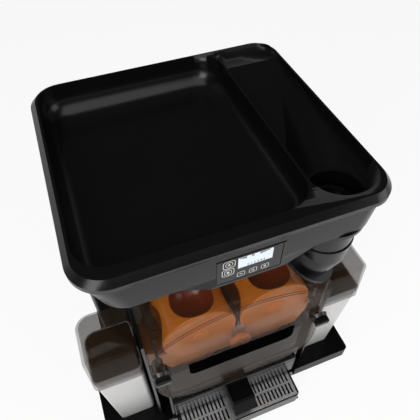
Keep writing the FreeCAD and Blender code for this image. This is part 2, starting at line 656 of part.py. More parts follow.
def gear_shape(teeth, turn, bore):
    """A spur gear about the Y axis, with stub teeth and straight-faceted involute flanks."""
    module = size("gear_module")
    pressure = math.radians(size("pressure_angle"))
    pitch = teeth * module / 2
    base = pitch * math.cos(pressure)
    addendum_share, dedendum_share = 0.8, 1.0
    tip, root = pitch + addendum_share * module, pitch - dedendum_share * module
    foot = max(root, base)
    half = math.pi / (2 * teeth) - size("backlash") / (2 * pitch) + involute(pressure)
    flank = [(root, half - involute(math.acos(base / foot)))] if root < base else []
    flank += [(radius, half - involute(math.acos(min(1, base / radius))))
              for radius in (foot, pitch, tip)]
    points = []
    for tooth in range(teeth):
        middle = math.radians(turn) + 2 * math.pi * tooth / teeth
        both = [(radius, middle - spread) for radius, spread in flank]
        both += [(radius, middle + spread) for radius, spread in reversed(flank)]
        points += [Vector(radius * math.cos(angle), 0, radius * math.sin(angle))
                   for radius, angle in both]
    rim = Part.Face(Part.makePolygon(points + points[:1]))
    blank = rim.extrude(Vector(0, size("gear_width"), 0))
    hole = Part.makeCylinder(bore, size("gear_width") * 3,
                             Vector(0, -size("gear_width"), 0), Vector(0, 1, 0))
    return blank.cut(hole)


def gears():
    front = -size("housing_front") + size("gear_side_gap")
    spacing, drop = size("hub_spacing") / 2, size("hub_drop")
    upper, lower = int(size("upper_teeth")), int(size("lower_teeth"))
    bore = size("shaft_radius") + size("running_gap")
    wheels = (("upper_left_gear", upper, 0, bore, -spacing, 0),
              ("upper_right_gear", upper, 180 / upper, bore, spacing, 0),
              ("lower_left_gear", lower, 0, bore, -spacing, -drop),
              ("lower_right_gear", lower, 180 / lower, bore, spacing, -drop),
              ("motor_pinion", int(size("pinion_teeth")), 0,
               size("pinion_shaft") + size("running_gap"), spacing,
               size("gear_module") * (upper + size("pinion_teeth")) / 2))
    for label, teeth, turn, hole, x, z in wheels:
        free_shape(label, gear_shape(teeth, turn, hole),
                   Vector(x, front, size("upper_hub") + z))


def drive_motor():
    centre = ("hub_spacing / 2", MOTOR_Z)
    start = PLATE_REAR[1]
    box = block("gearbox", ("hub_spacing / 2 - gearbox_half", "hub_spacing / 2 + gearbox_half"),
                (start, start + " + gearbox_length"),
                (MOTOR_Z + " - gearbox_half", MOTOR_Z + " + gearbox_half"))
    box = rounded("gearbox_round", box, "motor_boss", along_depth)
    can = rod("motor_can", "y", (start + " + gearbox_length",
                                 start + " + gearbox_length + motor_length"),
              centre, "motor_radius")
    boss = rod("motor_pilot", "y", (PLATE_REAR[0], start + " + overrun"), centre, "motor_boss")
    bore = rod("motor_bore", "y", (PLATE_REAR[0] + " - overrun", start + " + motor_boss"),
               centre, "pinion_shaft + running_gap")
    keep(cut("motor_cut", fuse("motor_solid", box, can, boss), bore), "drive_motor")
    keep(rod("pinion_rod", "y", ("-housing_front + gear_side_gap", start + " + motor_boss"
                                 " - overrun"), centre, "pinion_shaft"), "motor_shaft")


# Press drums

def cup_drums():
    for word, side in SIDES:
        x = signed(side, "hub_spacing / 2")
        middle = "-drum_front + drum_length / 2"
        name = "upper_%s_drum" % word
        body = rod(name + "_body", "y", ("-drum_front", "-drum_front + drum_length"),
                   (x, "upper_hub"), "drum_radius")
        body = rounded(name + "_round", body, "drum_round", lambda edge: len(edge.Vertexes) == 1)
        ring = rod(name + "_ring", "y", ("-drum_front - hub_ring_thick", "-drum_front + overrun"),
                   (x, "upper_hub"), "hub_ring")
        cups = [ball("%s_cup_%d" % (name, number),
                     ("%s + (%d) * cup_offset" % (x, across), middle,
                      "upper_hub + (%d) * cup_offset" % up), "cup_radius")
                for number, (across, up) in enumerate(((1, 0), (0, 1), (-1, 0), (0, -1)))]
        bore = rod(name + "_bore", "y", ("-drum_front - overrun * 2",
                                         "-drum_front + drum_length + overrun"),
                   (x, "upper_hub"), "shaft_radius + running_gap")
        keep(cut(name + "_cut", fuse(name + "_solid", body, ring), bore, *cups), name)
        cap = turned(name + "_cap_body", x, "upper_hub", [
            ("-drum_front - hub_ring_thick - hub_cap_thick", "0"),
            ("-drum_front - hub_ring_thick - hub_cap_thick", "hub_cap_radius - hub_cap_thick / 2"),
            ("-drum_front - hub_ring_thick - hub_cap_thick / 2", "hub_cap_radius"),
            ("-drum_front - hub_ring_thick", "hub_cap_radius"),
            ("-drum_front - hub_ring_thick", "0")])
        keep(cap, "upper_%s_hub_cap" % word)


def ball_drums():
    for word, side in SIDES:
        x = signed(side, "hub_spacing / 2")
        level = "upper_hub - hub_drop"
        middle = "-drum_front + drum_length / 2"
        name = "lower_%s_drum" % word
        body = rod(name + "_body", "y", ("-press_front", "-press_front + press_length"),
                   (x, level), "press_radius")
        balls = [ball("%s_ball_%s" % (name, place),
                      (x, middle, "%s + (%d) * ball_offset" % (level, up)), "ball_radius")
                 for place, up in (("top", 1), ("bottom", -1))]
        bore = rod(name + "_bore", "y", ("-press_front - overrun",
                                         "-press_front + press_length + overrun"),
                   (x, level), "shaft_radius + running_gap")
        keep(cut(name + "_cut", fuse(name + "_solid", body, *balls), bore), name)


# Chamber moulding, splash plate, knife and ejectors

CHAMBER_BACK = ("-housing_front - front_plate_thick - chamber_back_thick",
                "-housing_front - front_plate_thick")


def juice_chamber():
    wall = block("chamber_back", ("-chamber_half_width", "chamber_half_width"), CHAMBER_BACK,
                 ("chamber_bottom", "chamber_top"))
    wall = rounded("chamber_round", wall, "lip_round", along_depth)
    cheeks = []
    for word, side in SIDES:
        top = "cheek_top" if side < 0 else "feed_cheek_top"
        cheeks.append(prism(word + "_cheek", "side",
                            mirror_span(side, "chamber_half_width - chamber_wall",
                                        "chamber_half_width"),
                            [("-cheek_front", "cheek_bottom"),
                             (CHAMBER_BACK[0] + " + overrun", "cheek_bottom"),
                             (CHAMBER_BACK[0] + " + overrun", top), ("-cheek_front", top)]))
    sleeves, holes = [], []
    for word, side, level in HUBS:
        centre = (signed(side, "hub_spacing / 2"), level)
        sleeves.append(rod(word + "_sleeve", "y", (CHAMBER_BACK[0] + " - sleeve_length",
                                                   CHAMBER_BACK[0] + " + overrun"),
                           centre, "sleeve_radius"))
        holes.append(rod(word + "_sleeve_hole", "y",
                         (CHAMBER_BACK[0] + " - sleeve_length - overrun",
                          CHAMBER_BACK[1] + " + overrun"), centre, "shaft_radius + seat_gap"))
    relief = rod("flange_relief", "z", ("panel_top", "chamber_top + overrun"),
                 ("flange_x", "-elbow_y + flange_thick"), "flange_radius + overrun")
    keep(cut("chamber_cut", fuse("chamber_solid", wall, *(cheeks + sleeves)), relief, *holes),
         "juice_chamber")


STAY_Z = "centre_knob_z - wedge_half"
WEDGE_BACK = "-drum_front - seat_gap"


def splash_plate():
    sheet_run = ("-splash_face", "-splash_face + splash_thick")
    plate = prism("splash_outline", "front", sheet_run, [
        ("-splash_low_half", "splash_bottom"), ("splash_low_half", "splash_bottom"),
        ("splash_wide_half", "splash_wide_z"), ("splash_wide_half", "splash_top"),
        ("-splash_wide_half", "splash_top"), ("-splash_wide_half", "splash_wide_z")])
    cradles = [rod(word + "_cradle", "y", ("-splash_face - overrun",
                                           "-splash_face + splash_thick + overrun"),
                   (signed(side, "hub_spacing / 2"), "upper_hub"), "drum_radius + cradle_gap")
               for word, side in SIDES]
    hole = rod("splash_hole", "y", ("-splash_face - overrun",
                                    "-splash_face + splash_thick + overrun"),
               ("0", STAY_Z), "stud_radius + seat_gap")
    keep(cut("splash_cut", plate, hole, *cradles), "splash_plate")


def knife():
    blade = prism("knife_outline", "side", ("-knife_thick / 2", "knife_thick / 2"), [
        (WEDGE_BACK, "knife_bottom"), (CHAMBER_BACK[0], "knife_bottom"),
        (CHAMBER_BACK[0], "knife_top - chamber_back_thick"),
        (CHAMBER_BACK[0] + " - chamber_back_thick", "knife_top"),
        (WEDGE_BACK + " + chamber_back_thick", "knife_top"),
        (WEDGE_BACK, "knife_top - chamber_back_thick")])
    keep(blade, "knife_blade")
    wedge = prism("wedge_outline", "front", (WEDGE_BACK + " - wedge_thick", WEDGE_BACK), [
        ("-wedge_half", "wedge_bottom"), ("wedge_half", "wedge_bottom"),
        ("wedge_top_half", "wedge_top"), ("-wedge_top_half", "wedge_top")])
    collar = rod("stay_collar", "y", (WEDGE_BACK + " - overrun", "-splash_face"),
                 ("0", STAY_Z), "stud_radius * 2")
    stay = rod("stay_rod", "y", (WEDGE_BACK + " - overrun", CHAMBER_BACK[0]), ("0", STAY_Z),
               "stud_radius")
    keep(fuse("knife_holder_solid", wedge, collar, stay), "knife_holder")
    face = WEDGE_BACK + " - wedge_thick - seat_gap"
    keep(turned("centre_knob_body", "0", STAY_Z, [
        (face + " - centre_knob_length", "0"),
        (face + " - centre_knob_length", "centre_knob_radius - centre_knob_round"),
        (face + " - centre_knob_length + centre_knob_round", "centre_knob_radius"),
        (face + " - centre_knob_step", "centre_knob_radius"),
        (face, "centre_knob_radius - centre_knob_step"), (face, "0")]), "centre_knob")


def peel_ejectors():
    for word, side in SIDES:
        name = word + "_ejector"
        run = ("-press_front + seat_gap", "-press_front + press_length")
        slab = prism(name + "_slab", "front", run, [
            (signed(side, "ejector_tip"), "ejector_tip_z - ejector_tip_width / 2"),
            (signed(side, "panel_inner - seat_gap"), "ejector_root_low"),
            (signed(side, "panel_inner - seat_gap"), "ejector_root_top"),
            (signed(side, "ejector_tip"), "ejector_tip_z + ejector_tip_width / 2")])
        slots = []
        for step in range(int(size("ejector_slots"))):
            start = "-press_front + (%d) * press_length / (ejector_slots + 1)" % (step + 1)
            slots.append(block("%s_slot_%d" % (name, step),
                               mirror_span(side, "ejector_tip - overrun",
                                           "chamber_half_width - chamber_wall"),
                               (start + " - ejector_slot / 2", start + " + ejector_slot / 2"),
                               ("ejector_root_low", "ejector_root_top")))
        post = rod(name + "_post", "y", (run[1] + " - overrun", CHAMBER_BACK[0]),
                   (signed(side, "chamber_half_width"), "ejector_tip_z"), "ejector_post")
        keep(fuse(name + "_whole", cut(name + "_comb", slab, *slots), post),
             "peel_ejector_" + word)


# Juice tank

def juice_tank():
    outer = block("tank_block", ("-tank_half_width", "tank_half_width"),
                  ("-tank_front", CHAMBER_BACK[0] + " - seat_gap"),
                  ("plinth_top + seat_gap", "tank_top"))
    outer = rounded("tank_round", outer, "lip_round", upright)
    room = block("tank_room", ("-tank_half_width + tank_wall", "tank_half_width - tank_wall"),
                 ("-tank_front + tank_wall", CHAMBER_BACK[0] + " - seat_gap - tank_wall"),
                 ("plinth_top + seat_gap + tank_wall", "tank_top + overrun"))
    step = block("tank_step", ("-tank_half_width - overrun", "tank_half_width + overrun"),
                 ("-tank_front + lip_round + tank_wall", CHAMBER_BACK[0] + " + overrun"),
                 ("tank_side_top", "tank_top + overrun"))
    drain = rod("tank_drain", "z", ("plinth_top - overrun", "plinth_top + tank_wall + overrun"),
                ("0", "-plinth_front + chamber_wall + pipe_radius + overrun"),
                "pipe_radius - pipe_wall")
    keep(cut("tank_cut", outer, room, step, drain), "juice_tank")


def strainer():
    margin = "tank_wall + seat_gap"
    plate = block("strainer_block",
                  ("-tank_half_width + " + margin, "tank_half_width - tank_wall - seat_gap"),
                  ("-tank_front + " + margin, CHAMBER_BACK[0] + " - seat_gap - tank_wall"
                   " - seat_gap"),
                  ("strainer_z", "strainer_z + strainer_thick"))
    count = int(size("strainer_slots"))
    slots = []
    for step in range(count):
        x = "(%s) * strainer_pitch" % (step - (count - 1) / 2)
        slots.append(block("strainer_slot_%d" % step,
                           (x + " - strainer_slot / 2", x + " + strainer_slot / 2"),
                           ("-tank_front + strainer_edge * 2", CHAMBER_BACK[0]
                            + " - strainer_edge"),
                           ("strainer_z - overrun", "strainer_z + strainer_thick + overrun")))
    ledges = []
    for word, side in SIDES:
        ledges.append(block(word + "_strainer_leg",
                            mirror_span(side, "tank_half_width - strainer_edge",
                                        "tank_half_width - strainer_edge + strainer_thick"),
                            ("-tank_front + strainer_edge", CHAMBER_BACK[0] + " - strainer_edge"),
                            ("plinth_top + seat_gap + tank_wall", "strainer_z")))
    keep(fuse("strainer_whole", cut("strainer_cut", plate, *slots), *ledges), "pulp_strainer")


# Side panels with the peel openings

def side_panels():
    for word, side in SIDES:
        run = mirror_span(side, "panel_inner", "panel_inner + panel_thick")
        sheet_body = prism(word + "_panel", "side", run, [
            ("-panel_front", "foot_height + base_slab + wing_thick"),
            ("-housing_front", "foot_height + base_slab + wing_thick"),
            ("-housing_front", "housing_top"), ("-post_front", "housing_top"),
            ("-post_front", "panel_top + lip_round * 2"),
            ("-post_front - lip_round * 2", "panel_top"), ("-panel_front", "panel_top")])
        gap = block(word + "_peel_gap",
                    (run[0] + " - overrun", run[1] + " + overrun"),
                    ("-peel_front", "-peel_back"), ("peel_low", "peel_high"))
        keep(cut(word + "_panel_cut", sheet_body, gap), "side_panel_" + word)


# Clear front cover

def arch_solid(inset):
    """The cover's outer form drawn in by an inset: an upright profile under a sloping arch."""
    half = size("cover_half_width") - inset
    low, crest = size("cover_bottom") + inset, size("cover_crest") - inset
    front = -size("cover_front") + inset
    back = -size("cover_back") + (size("overrun") if inset else 0)
    corner = size("cover_corner") - inset
    arch = size("cover_arch") - inset
    edge_z = crest - arch + math.sqrt(arch ** 2 - half ** 2)
    tall = crest + (back - front) + corner
    box = Part.makeBox(2 * half, back - front, tall - low, Vector(-half, front, low))
    low_edges = [edge for edge in box.Edges if along_depth(edge)
                 and abs(edge.BoundBox.ZMin - low) < TINY]
    box = box.makeFillet(corner, low_edges)
    wide = half + corner
    wide_z = edge_z - corner
    reach = back - front + 2 * size("overrun")
    start = front - size("overrun")
    rise = math.tan(math.radians(size("cover_rise_angle")))
    shift = Vector(0, 0, -size("overrun") * rise)
    arc = Part.Arc(Vector(-half, start, edge_z), Vector(0, start, crest),
                   Vector(half, start, edge_z))
    sides = Part.makePolygon([Vector(half, start, edge_z), Vector(wide, start, wide_z),
                              Vector(wide, start, low - reach), Vector(-wide, start, low - reach),
                              Vector(-wide, start, wide_z), Vector(-half, start, edge_z)])
    face = Part.Face(Part.Wire([arc.toShape()] + sides.Edges))
    face.translate(shift)
    roof = face.extrude(Vector(0, reach, reach * rise))
    solid = box.common(roof)
    edges = [edge for edge in solid.Edges if abs(edge.BoundBox.YMin - front) < TINY
             and edge.BoundBox.YLength < TINY]
    return solid.makeFillet(size("cover_edge") - inset, edges)


def roof_frame():
    """The point and the outward direction where the feed pipe meets the cover's roof."""
    rise = math.tan(math.radians(size("cover_rise_angle")))
    x, arch = size("flange_x"), size("cover_arch")
    drop = math.sqrt(arch ** 2 - x ** 2)
    normal = Vector(x / drop, -rise, 1)
    normal.normalize()
    reach = (size("elbow_x") - x) / normal.x
    y = -size("elbow_y") - reach * normal.y
    z = size("cover_crest") - arch + drop + (y + size("cover_front")) * rise
    return Vector(x, y, z), normal, reach


def front_cover():
    shell = arch_solid(0).cut(arch_solid(size("cover_wall")))
    low_back = -size("cover_low_back")
    wide = size("cover_half_width") + size("overrun")
    shell = shell.cut(Part.makeBox(2 * wide, size("cover_front"), size("cover_low_top")
                                   - size("cover_bottom") + size("overrun"),
                                   Vector(-wide, low_back, size("cover_bottom")
                                          - size("overrun"))))
    point, normal, _ = roof_frame()
    reach = size("cover_edge")
    port = Part.makeCylinder(size("elbow_bore"), 2 * reach, point - normal * reach, normal)
    shell = shell.cut(port)
    for _, side in SIDES:
        hole = Part.makeCylinder(size("knob_stem") + size("seat_gap"), size("cover_front"),
                                 Vector(side * size("knob_x"), -size("cover_front")
                                        - size("overrun"), size("knob_z")), Vector(0, 1, 0))
        shell = shell.cut(hole)
    free_shape("front_cover", shell)


def cover_knobs():
    face = "-cover_front - seat_gap"
    for word, side in SIDES:
        name = "cover_knob_" + word
        x = signed(side, "knob_x")
        disc = turned(name + "_disc", x, "knob_z", [
            (face + " - knob_web", "0"), (face + " - knob_web", "knob_radius - knob_round"),
            (face, "knob_radius"), (face, "knob_stem"),
            (face + " + cover_wall + knob_web", "knob_stem"),
            (face + " + cover_wall + knob_web", "0")])
        grip = block(name + "_grip", (x + " - knob_radius + knob_round",
                                      x + " + knob_radius - knob_round"),
                     (face + " - knob_length", face + " - knob_web + overrun"),
                     ("knob_z - knob_web", "knob_z + knob_web"))
        grip = rounded(name + "_grip_round", grip, "knob_round",
                       lambda edge: not face_at_front(-size("cover_front") - size("seat_gap")
                                                      - size("knob_web") + size("overrun"))(edge))
        keep(fuse(name + "_whole", disc, grip), name)
    bosses = []
    for word, side in SIDES:
        near = signed(side, "knob_x")
        boss = rod(word + "_boss", "y", ("-cover_front + cover_wall + knob_web",
                                         "-cheek_front"), (near, "knob_z"), "boss_radius")
        arm = block(word + "_boss_arm",
                    mirror_span(side, "chamber_half_width - chamber_wall",
                                "chamber_half_width + seat_gap"),
                    ("-cheek_front - boss_radius", "-cheek_front"),
                    ("knob_z", "cheek_bottom + boss_radius"))
        bosses.append(fuse(word + "_boss_whole", boss, arm))
    keep(group("bosses", *bosses), "cover_bosses")


# Feed elbow

def feed_elbow():
    point, normal, reach = roof_frame()
    turn = point + normal * reach
    bore, outer = size("elbow_bore"), size("elbow_bore") + size("elbow_wall")
    top = size("housing_top") - size("seat_gap")
    up = Vector(0, 0, 1)
    gap = size("flange_gap")
    start = point + normal * gap

    def pipe(radius, below, above):
        lean = Part.makeCylinder(radius, reach - gap + below, start - normal * below, normal)
        rise = Part.makeCylinder(radius, top - turn.z + above, turn, up)
        return lean.fuse([Part.makeSphere(radius, turn), rise])

    solid = pipe(outer, 0, 0)
    solid = solid.fuse([
        Part.makeCylinder(size("flange_radius"), size("flange_thick"), start, normal),
        Part.makeCylinder(size("collar_radius"), size("collar_thick"),
                          Vector(turn.x, turn.y, top - size("collar_thick")), up),
        Part.makeCylinder(outer + size("joint_bead"), size("joint_bead") * 2,
                          Vector(turn.x, turn.y, size("sleeve_joint")), up)])
    under = Part.makeCylinder(outer * 2, outer * 2, start, -normal)
    below = size("overrun")
    free_shape("feed_elbow", solid.cut(pipe(bore, below, below)).cut(under))


# Hopper skirt and control panel

def hopper_skirt():
    low, high = "housing_top", "rim_height - lip_height"

    def shell(name, inset, less, low_level, high_level):
        body = tapered(name, low_level,
                       ("-skirt_low_half + " + inset, "skirt_low_half - " + inset),
                       ("-skirt_front + " + inset, "skirt_low_back - " + inset),
                       high_level,
                       ("-skirt_top_half + " + inset, "skirt_top_half - " + inset),
                       ("-skirt_front + " + inset, "skirt_top_back - " + inset))
        return rounded(name + "_round", body, size("skirt_round") - less, upright)

    outer = shell("skirt_outer", "0", 0, low, high)
    inner = shell("skirt_inner", "skirt_wall", size("skirt_wall"), low + " + skirt_wall",
                  high + " + seat_gap")
    chin = prism("chin", "front", ("-skirt_front", "-skirt_front + chin_depth"), [
        ("-chin_narrow", "housing_top - chin_drop"), ("chin_narrow", "housing_top - chin_drop"),
        ("chin_wide", "housing_top"), ("chin_wide", "housing_top + skirt_wall"),
        ("-chin_wide", "housing_top + skirt_wall"), ("-chin_wide", "housing_top")])
    pad = block("panel_seat", ("-panel_half_width", "panel_half_width"),
                ("-skirt_front", "-skirt_front + chin_depth / 2"),
                ("housing_top - chin_drop", "housing_top - chin_drop + panel_height"
                 " + overlay_edge"))
    hole = rod("drop_hole", "z", ("housing_top - overrun", "housing_top + skirt_wall + overrun"),
               ("elbow_x", "-elbow_y"), "elbow_bore + elbow_wall")
    solid = fuse("skirt_solid", outer, chin, pad)
    keep(cut("skirt_cut", solid, inner, hole), "hopper_skirt")


PANEL_FACE = "-skirt_front"


def control_panel():
    low = "housing_top - chin_drop + overlay_edge"
    plate = block("overlay_block", ("-panel_half_width", "panel_half_width"),
                  (PANEL_FACE + " - overlay_thick", PANEL_FACE), (low, low + " + panel_height"))
    plate = rounded("overlay_round", plate, "overlay_round",
                    along_depth)
    window = block("display_recess", ("-display_left", "display_right"),
                   (PANEL_FACE + " - overlay_thick - overrun",
                    PANEL_FACE + " - overlay_thick + display_depth"),
                   ("display_low", "display_high"))
    keep(cut("overlay_cut", plate, window), "control_panel")
    screen = block("display_block", ("-display_left + running_gap", "display_right - running_gap"),
                   (PANEL_FACE + " - overlay_thick + display_depth / 2",
                    PANEL_FACE + " - overlay_thick + display_depth"),
                   ("display_low + running_gap", "display_high - running_gap"))
    keep(screen, "display_window")
    face = (PANEL_FACE + " - overlay_thick - key_relief", PANEL_FACE + " - overlay_thick")
    keys = [block("key_%d" % step,
                  ("-key_first + %d * key_pitch + overlay_round" % step,
                   "-key_first + %d * key_pitch + overlay_round + key_width" % step),
                  face, ("key_low", "key_high")) for step in range(3)]
    middle = "(twin_low + twin_high) / 2"
    keys.append(block("start_key", ("-twin_left", "-twin_right"), face,
                      (middle + " + twin_gap / 2", "twin_high")))
    keys.append(block("stop_key", ("-twin_left", "-twin_right"), face,
                      ("twin_low", middle + " - twin_gap / 2")))
    keep(group("keys", *keys), "touch_keys")


# Hopper tray

def hopper_tray():
    lip_low = "rim_height - lip_height"
    rim = block("rim_block", ("-hopper_half_width", "hopper_half_width"),
                ("-hopper_half_depth", "hopper_half_depth"), (lip_low, "rim_height"))
    rim = rounded("rim_corners", rim, "hopper_corner", upright)
    rim = rounded("rim_edge", rim, "lip_round", flat_at(size("rim_height")))

    def basket(name, grow, top):
        body = block(name, ("-basket_left - " + grow, "basket_right + " + grow),
                     ("-basket_front - " + grow, "basket_back + " + grow),
                     ("basket_floor - " + grow, top))
        level = size("basket_floor") - (size("hopper_wall") if grow != "0" else 0)
        body = rounded(name + "_corners", body, "basket_corner", upright)
        return rounded(name + "_low", body, "basket_low_round", flat_at(level))

    def lane(name, grow, top, sink):
        body = prism(name, "side", ("basket_right + divider - " + grow, "lane_right + " + grow), [
            ("-lane_front - " + grow, "lane_low - " + sink),
            ("-lane_low_start", "lane_low - " + sink),
            ("lane_break", "lane_high - " + sink), ("lane_back + " + grow, "lane_high - " + sink),
            ("lane_back + " + grow, top), ("-lane_front - " + grow, top)])
        front = rounded(name + "_tip", body, "lane_front_round", lambda edge: upright(edge)
                        and edge.BoundBox.YMax < 0)
        return rounded(name + "_end", front, "lane_back_round", lambda edge: upright(edge)
                       and edge.BoundBox.YMin > 0)

    stub_place = ("elbow_x", "-elbow_y + seat_gap")
    stub = rod("drop_stub", "z", ("stub_bottom", "lane_low - hopper_wall / 2"), stub_place,
               "drop_radius + hopper_wall")
    drop = rod("drop_way", "z", ("stub_bottom - overrun", "lane_low + overrun"), stub_place,
               "drop_radius")
    inside_top = "rim_height + overrun"
    under_lip = lip_low + " + hopper_wall"
    solid = fuse("hopper_solid", rim, basket("basket_shell", "hopper_wall", under_lip),
                 lane("lane_shell", "hopper_wall", under_lip, "hopper_wall"), stub)
    keep(cut("hopper_cut", solid, basket("basket_room", "0", inside_top),
             lane("lane_room", "0", inside_top, "0"), drop), "hopper_tray")


# Peel bins and caps

def outside_back(edge):
    """The upright corner of a bin or cap that faces out and back."""
    box = edge.BoundBox
    return (upright(edge) and box.YMin > -(size("bin_front") + size("bin_back")) / 2
            and abs(box.XMin + box.XMax) / 2 > (size("bin_inner") + size("bin_outer")) / 2)


def other_uprights(edge):
    """The straight upright corners of a bin besides its outer back one."""
    box = edge.BoundBox
    outer_half = abs(box.XMin + box.XMax) / 2 > (size("bin_inner") + size("bin_outer")) / 2
    return (upright(edge) and len(edge.Vertexes) == 2
            and not (outer_half and box.YMin > -(size("bin_front") + size("bin_back")) / 2))


def peel_bins():
    for word, side in SIDES:
        name = word + "_bin"
        low = "foot_height + base_slab + wing_thick + seat_gap"

        def tub(part, inset, less, low_level, high_level):
            body = tapered(name + part, low_level,
                           mirror_span(side, "bin_inner + " + inset, "bin_low_outer - " + inset),
                           ("-bin_low_front + " + inset, "-bin_low_back - " + inset), high_level,
                           mirror_span(side, "bin_inner + " + inset, "bin_outer - " + inset),
                           ("-bin_front + " + inset, "-bin_back - " + inset))
            body = rounded(name + part + "_corner", body,
                           size("cap_back_round") - size("cap_margin") - less, outside_back)
            return rounded(name + part + "_round", body, "bin_round", other_uprights)

        outer = tub("_outer", "0", 0, low, "bin_top")
        inner = tub("_inner", "bin_wall", size("bin_wall"), low + " + bin_bottom_wall",
                    "bin_top + seat_gap")
        gap = block(name + "_window", mirror_span(side, "bin_inner - overrun",
                                                  "bin_inner + bin_wall + overrun"),
                    ("-bin_low_front + bin_window_side", "-bin_low_back - bin_window_side"),
                    ("bin_window_low", "bin_top + overrun"))
        keep(cut(name + "_cut", outer, inner, gap), "peel_bin_" + word)


def bin_caps():
    for word, side in SIDES:
        name = word + "_cap"

        def front_pair(edge):
            return (upright(edge)
                    and edge.BoundBox.YMax < -(size("bin_front") + size("bin_back")) / 2)

        def softened(part, body, less):
            body = rounded(name + part + "_back", body, size("cap_back_round") - less,
                           outside_back)
            return rounded(name + part + "_front", body, size("cap_front_round") - less,
                           front_pair)

        def hood(part, inset, low_level, high_level):
            return tapered(name + part, low_level,
                           mirror_span(side, "bin_inner - cap_margin + " + inset,
                                       "bin_outer + cap_margin - (%s)" % inset),
                           ("-bin_front - cap_margin + " + inset,
                            "-bin_back + cap_margin - (%s)" % inset), high_level,
                           mirror_span(side, "bin_inner - cap_margin + " + inset,
                                       "bin_outer + cap_margin - cap_draft - (%s)" % inset),
                           ("-bin_front - cap_margin + cap_draft / 2 + " + inset,
                            "-bin_back + cap_margin - cap_draft / 2 - (%s)" % inset))

        outer = softened("_outer", hood("_outer_hood", "0", "cap_lip", "cap_top"), 0)
        outer = rounded(name + "_edge", outer, "cap_edge", flat_at(size("cap_top")))
        thick = "cap_margin + cap_wall / 2"
        inner = softened("_inner", hood("_inner_hood", thick, "bin_top + seat_gap",
                                        "cap_top - cap_wall"),
                         size("cap_margin") + size("cap_wall") / 2)
        skirt = block(name + "_skirt",
                      mirror_span(side, "bin_inner - cap_margin + cap_wall",
                                  "bin_outer + cap_margin - cap_wall"),
                      ("-bin_front - cap_margin + cap_wall", "-bin_back + cap_margin - cap_wall"),
                      ("cap_lip - overrun", "bin_top + seat_gap"))
        skirt = softened("_skirt", skirt, size("cap_wall"))
        opening = block(name + "_opening",
                        mirror_span(side, "bin_inner - cap_margin - overrun",
                                    "bin_inner + cap_wall + overrun"),
                        ("-bin_low_front + bin_window_side", "-bin_low_back - bin_window_side"),
                        ("cap_lip - overrun", "cap_top - cap_front_round * 2"))
        keep(cut(name + "_cut", outer, inner, skirt, opening), "bin_cap_" + word)


# Build everything, test it and write it out

for make in (base_housing, wing_trays, rubber_feet, drip_tray, drip_grille, front_ledge, tap,
             outlet_pipe, rear_housing, rear_cover, power_switch, power_inlet):
    make()
frame_plate("front_frame_plate", PLATE_FRONT, False)
frame_plate("rear_frame_plate", PLATE_REAR, True)
for make in (frame_pillars, bearings_and_shafts, gears, drive_motor, cup_drums, ball_drums,
             juice_chamber, splash_plate, knife, peel_ejectors, juice_tank, strainer,
             side_panels, front_cover, cover_knobs, feed_elbow, hopper_skirt, control_panel,
             hopper_tray, peel_bins, bin_caps):
    make()
doc.recompute()

failed = [item.Label for item in doc.Objects
          if "Invalid" in item.State or "Error" in item.State]
if failed:
    raise RuntimeError("not built: " + ", ".join(failed))
os.makedirs("parts", exist_ok=True)
for piece in kept:
    shape = piece.Shape
    if shape.isNull() or not shape.isValid():
        raise RuntimeError("bad shape: " + piece.Label)
    shape.exportStep("parts/" + piece.Label + ".step")
    print("%-22s %d solids, %.1f cm3" % (piece.Label, len(shape.Solids), shape.Volume / 1000))
print(len(kept), "sub-parts")
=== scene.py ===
# %% [markdown]
# # An automatic orange juicer, dressed for a studio picture
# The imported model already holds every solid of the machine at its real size: drums, gears,
# covers, bins and trays. A renderer could draw it as it is, but plain solids look like clay.
# This lesson adds what the eye expects on top: the camera, the light, a finish for each
# material, and the small pieces that a hand would fit last. Everything is in metres, in the
# model's own frame, so a piece goes where the solids say and nothing is fitted by trial.

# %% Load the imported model
import json
import math

import bpy
from mathutils import Matrix, Vector


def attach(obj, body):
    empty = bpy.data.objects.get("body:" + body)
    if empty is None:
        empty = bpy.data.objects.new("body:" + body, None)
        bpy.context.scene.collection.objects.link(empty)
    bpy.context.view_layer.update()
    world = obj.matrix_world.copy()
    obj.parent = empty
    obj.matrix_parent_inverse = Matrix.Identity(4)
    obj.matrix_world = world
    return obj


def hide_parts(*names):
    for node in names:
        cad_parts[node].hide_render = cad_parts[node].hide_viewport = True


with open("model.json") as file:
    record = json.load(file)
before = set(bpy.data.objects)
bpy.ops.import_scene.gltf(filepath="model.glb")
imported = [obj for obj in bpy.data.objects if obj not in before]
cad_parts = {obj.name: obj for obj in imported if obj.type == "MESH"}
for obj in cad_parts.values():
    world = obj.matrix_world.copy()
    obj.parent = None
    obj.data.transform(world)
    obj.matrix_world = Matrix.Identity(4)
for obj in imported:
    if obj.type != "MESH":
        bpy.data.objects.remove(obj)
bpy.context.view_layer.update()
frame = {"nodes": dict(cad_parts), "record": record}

print("pieces in the model:", len(frame["nodes"]))

# %% [markdown]
# ## The camera
# The picture looks down at the machine from its front left corner, steeply enough to see into
# the hopper. Such a view can be set by eye, or worked out once from edges whose real sizes are
# known. The second way is used here: a turn about the upright axis, a tilt downwards, a slight
# roll, and one focal length in pixels that becomes millimetres of lens.

# %% Camera
PHOTO_SIDE = 420
FOCAL_PIXELS = 445.8
SENSOR = 36.0
CAMERA_PLACE = Vector((-0.1712, -0.5059, 1.1449))
YAW, PITCH, ROLL = (math.radians(angle) for angle in (20.47, 49.76, 0.71))

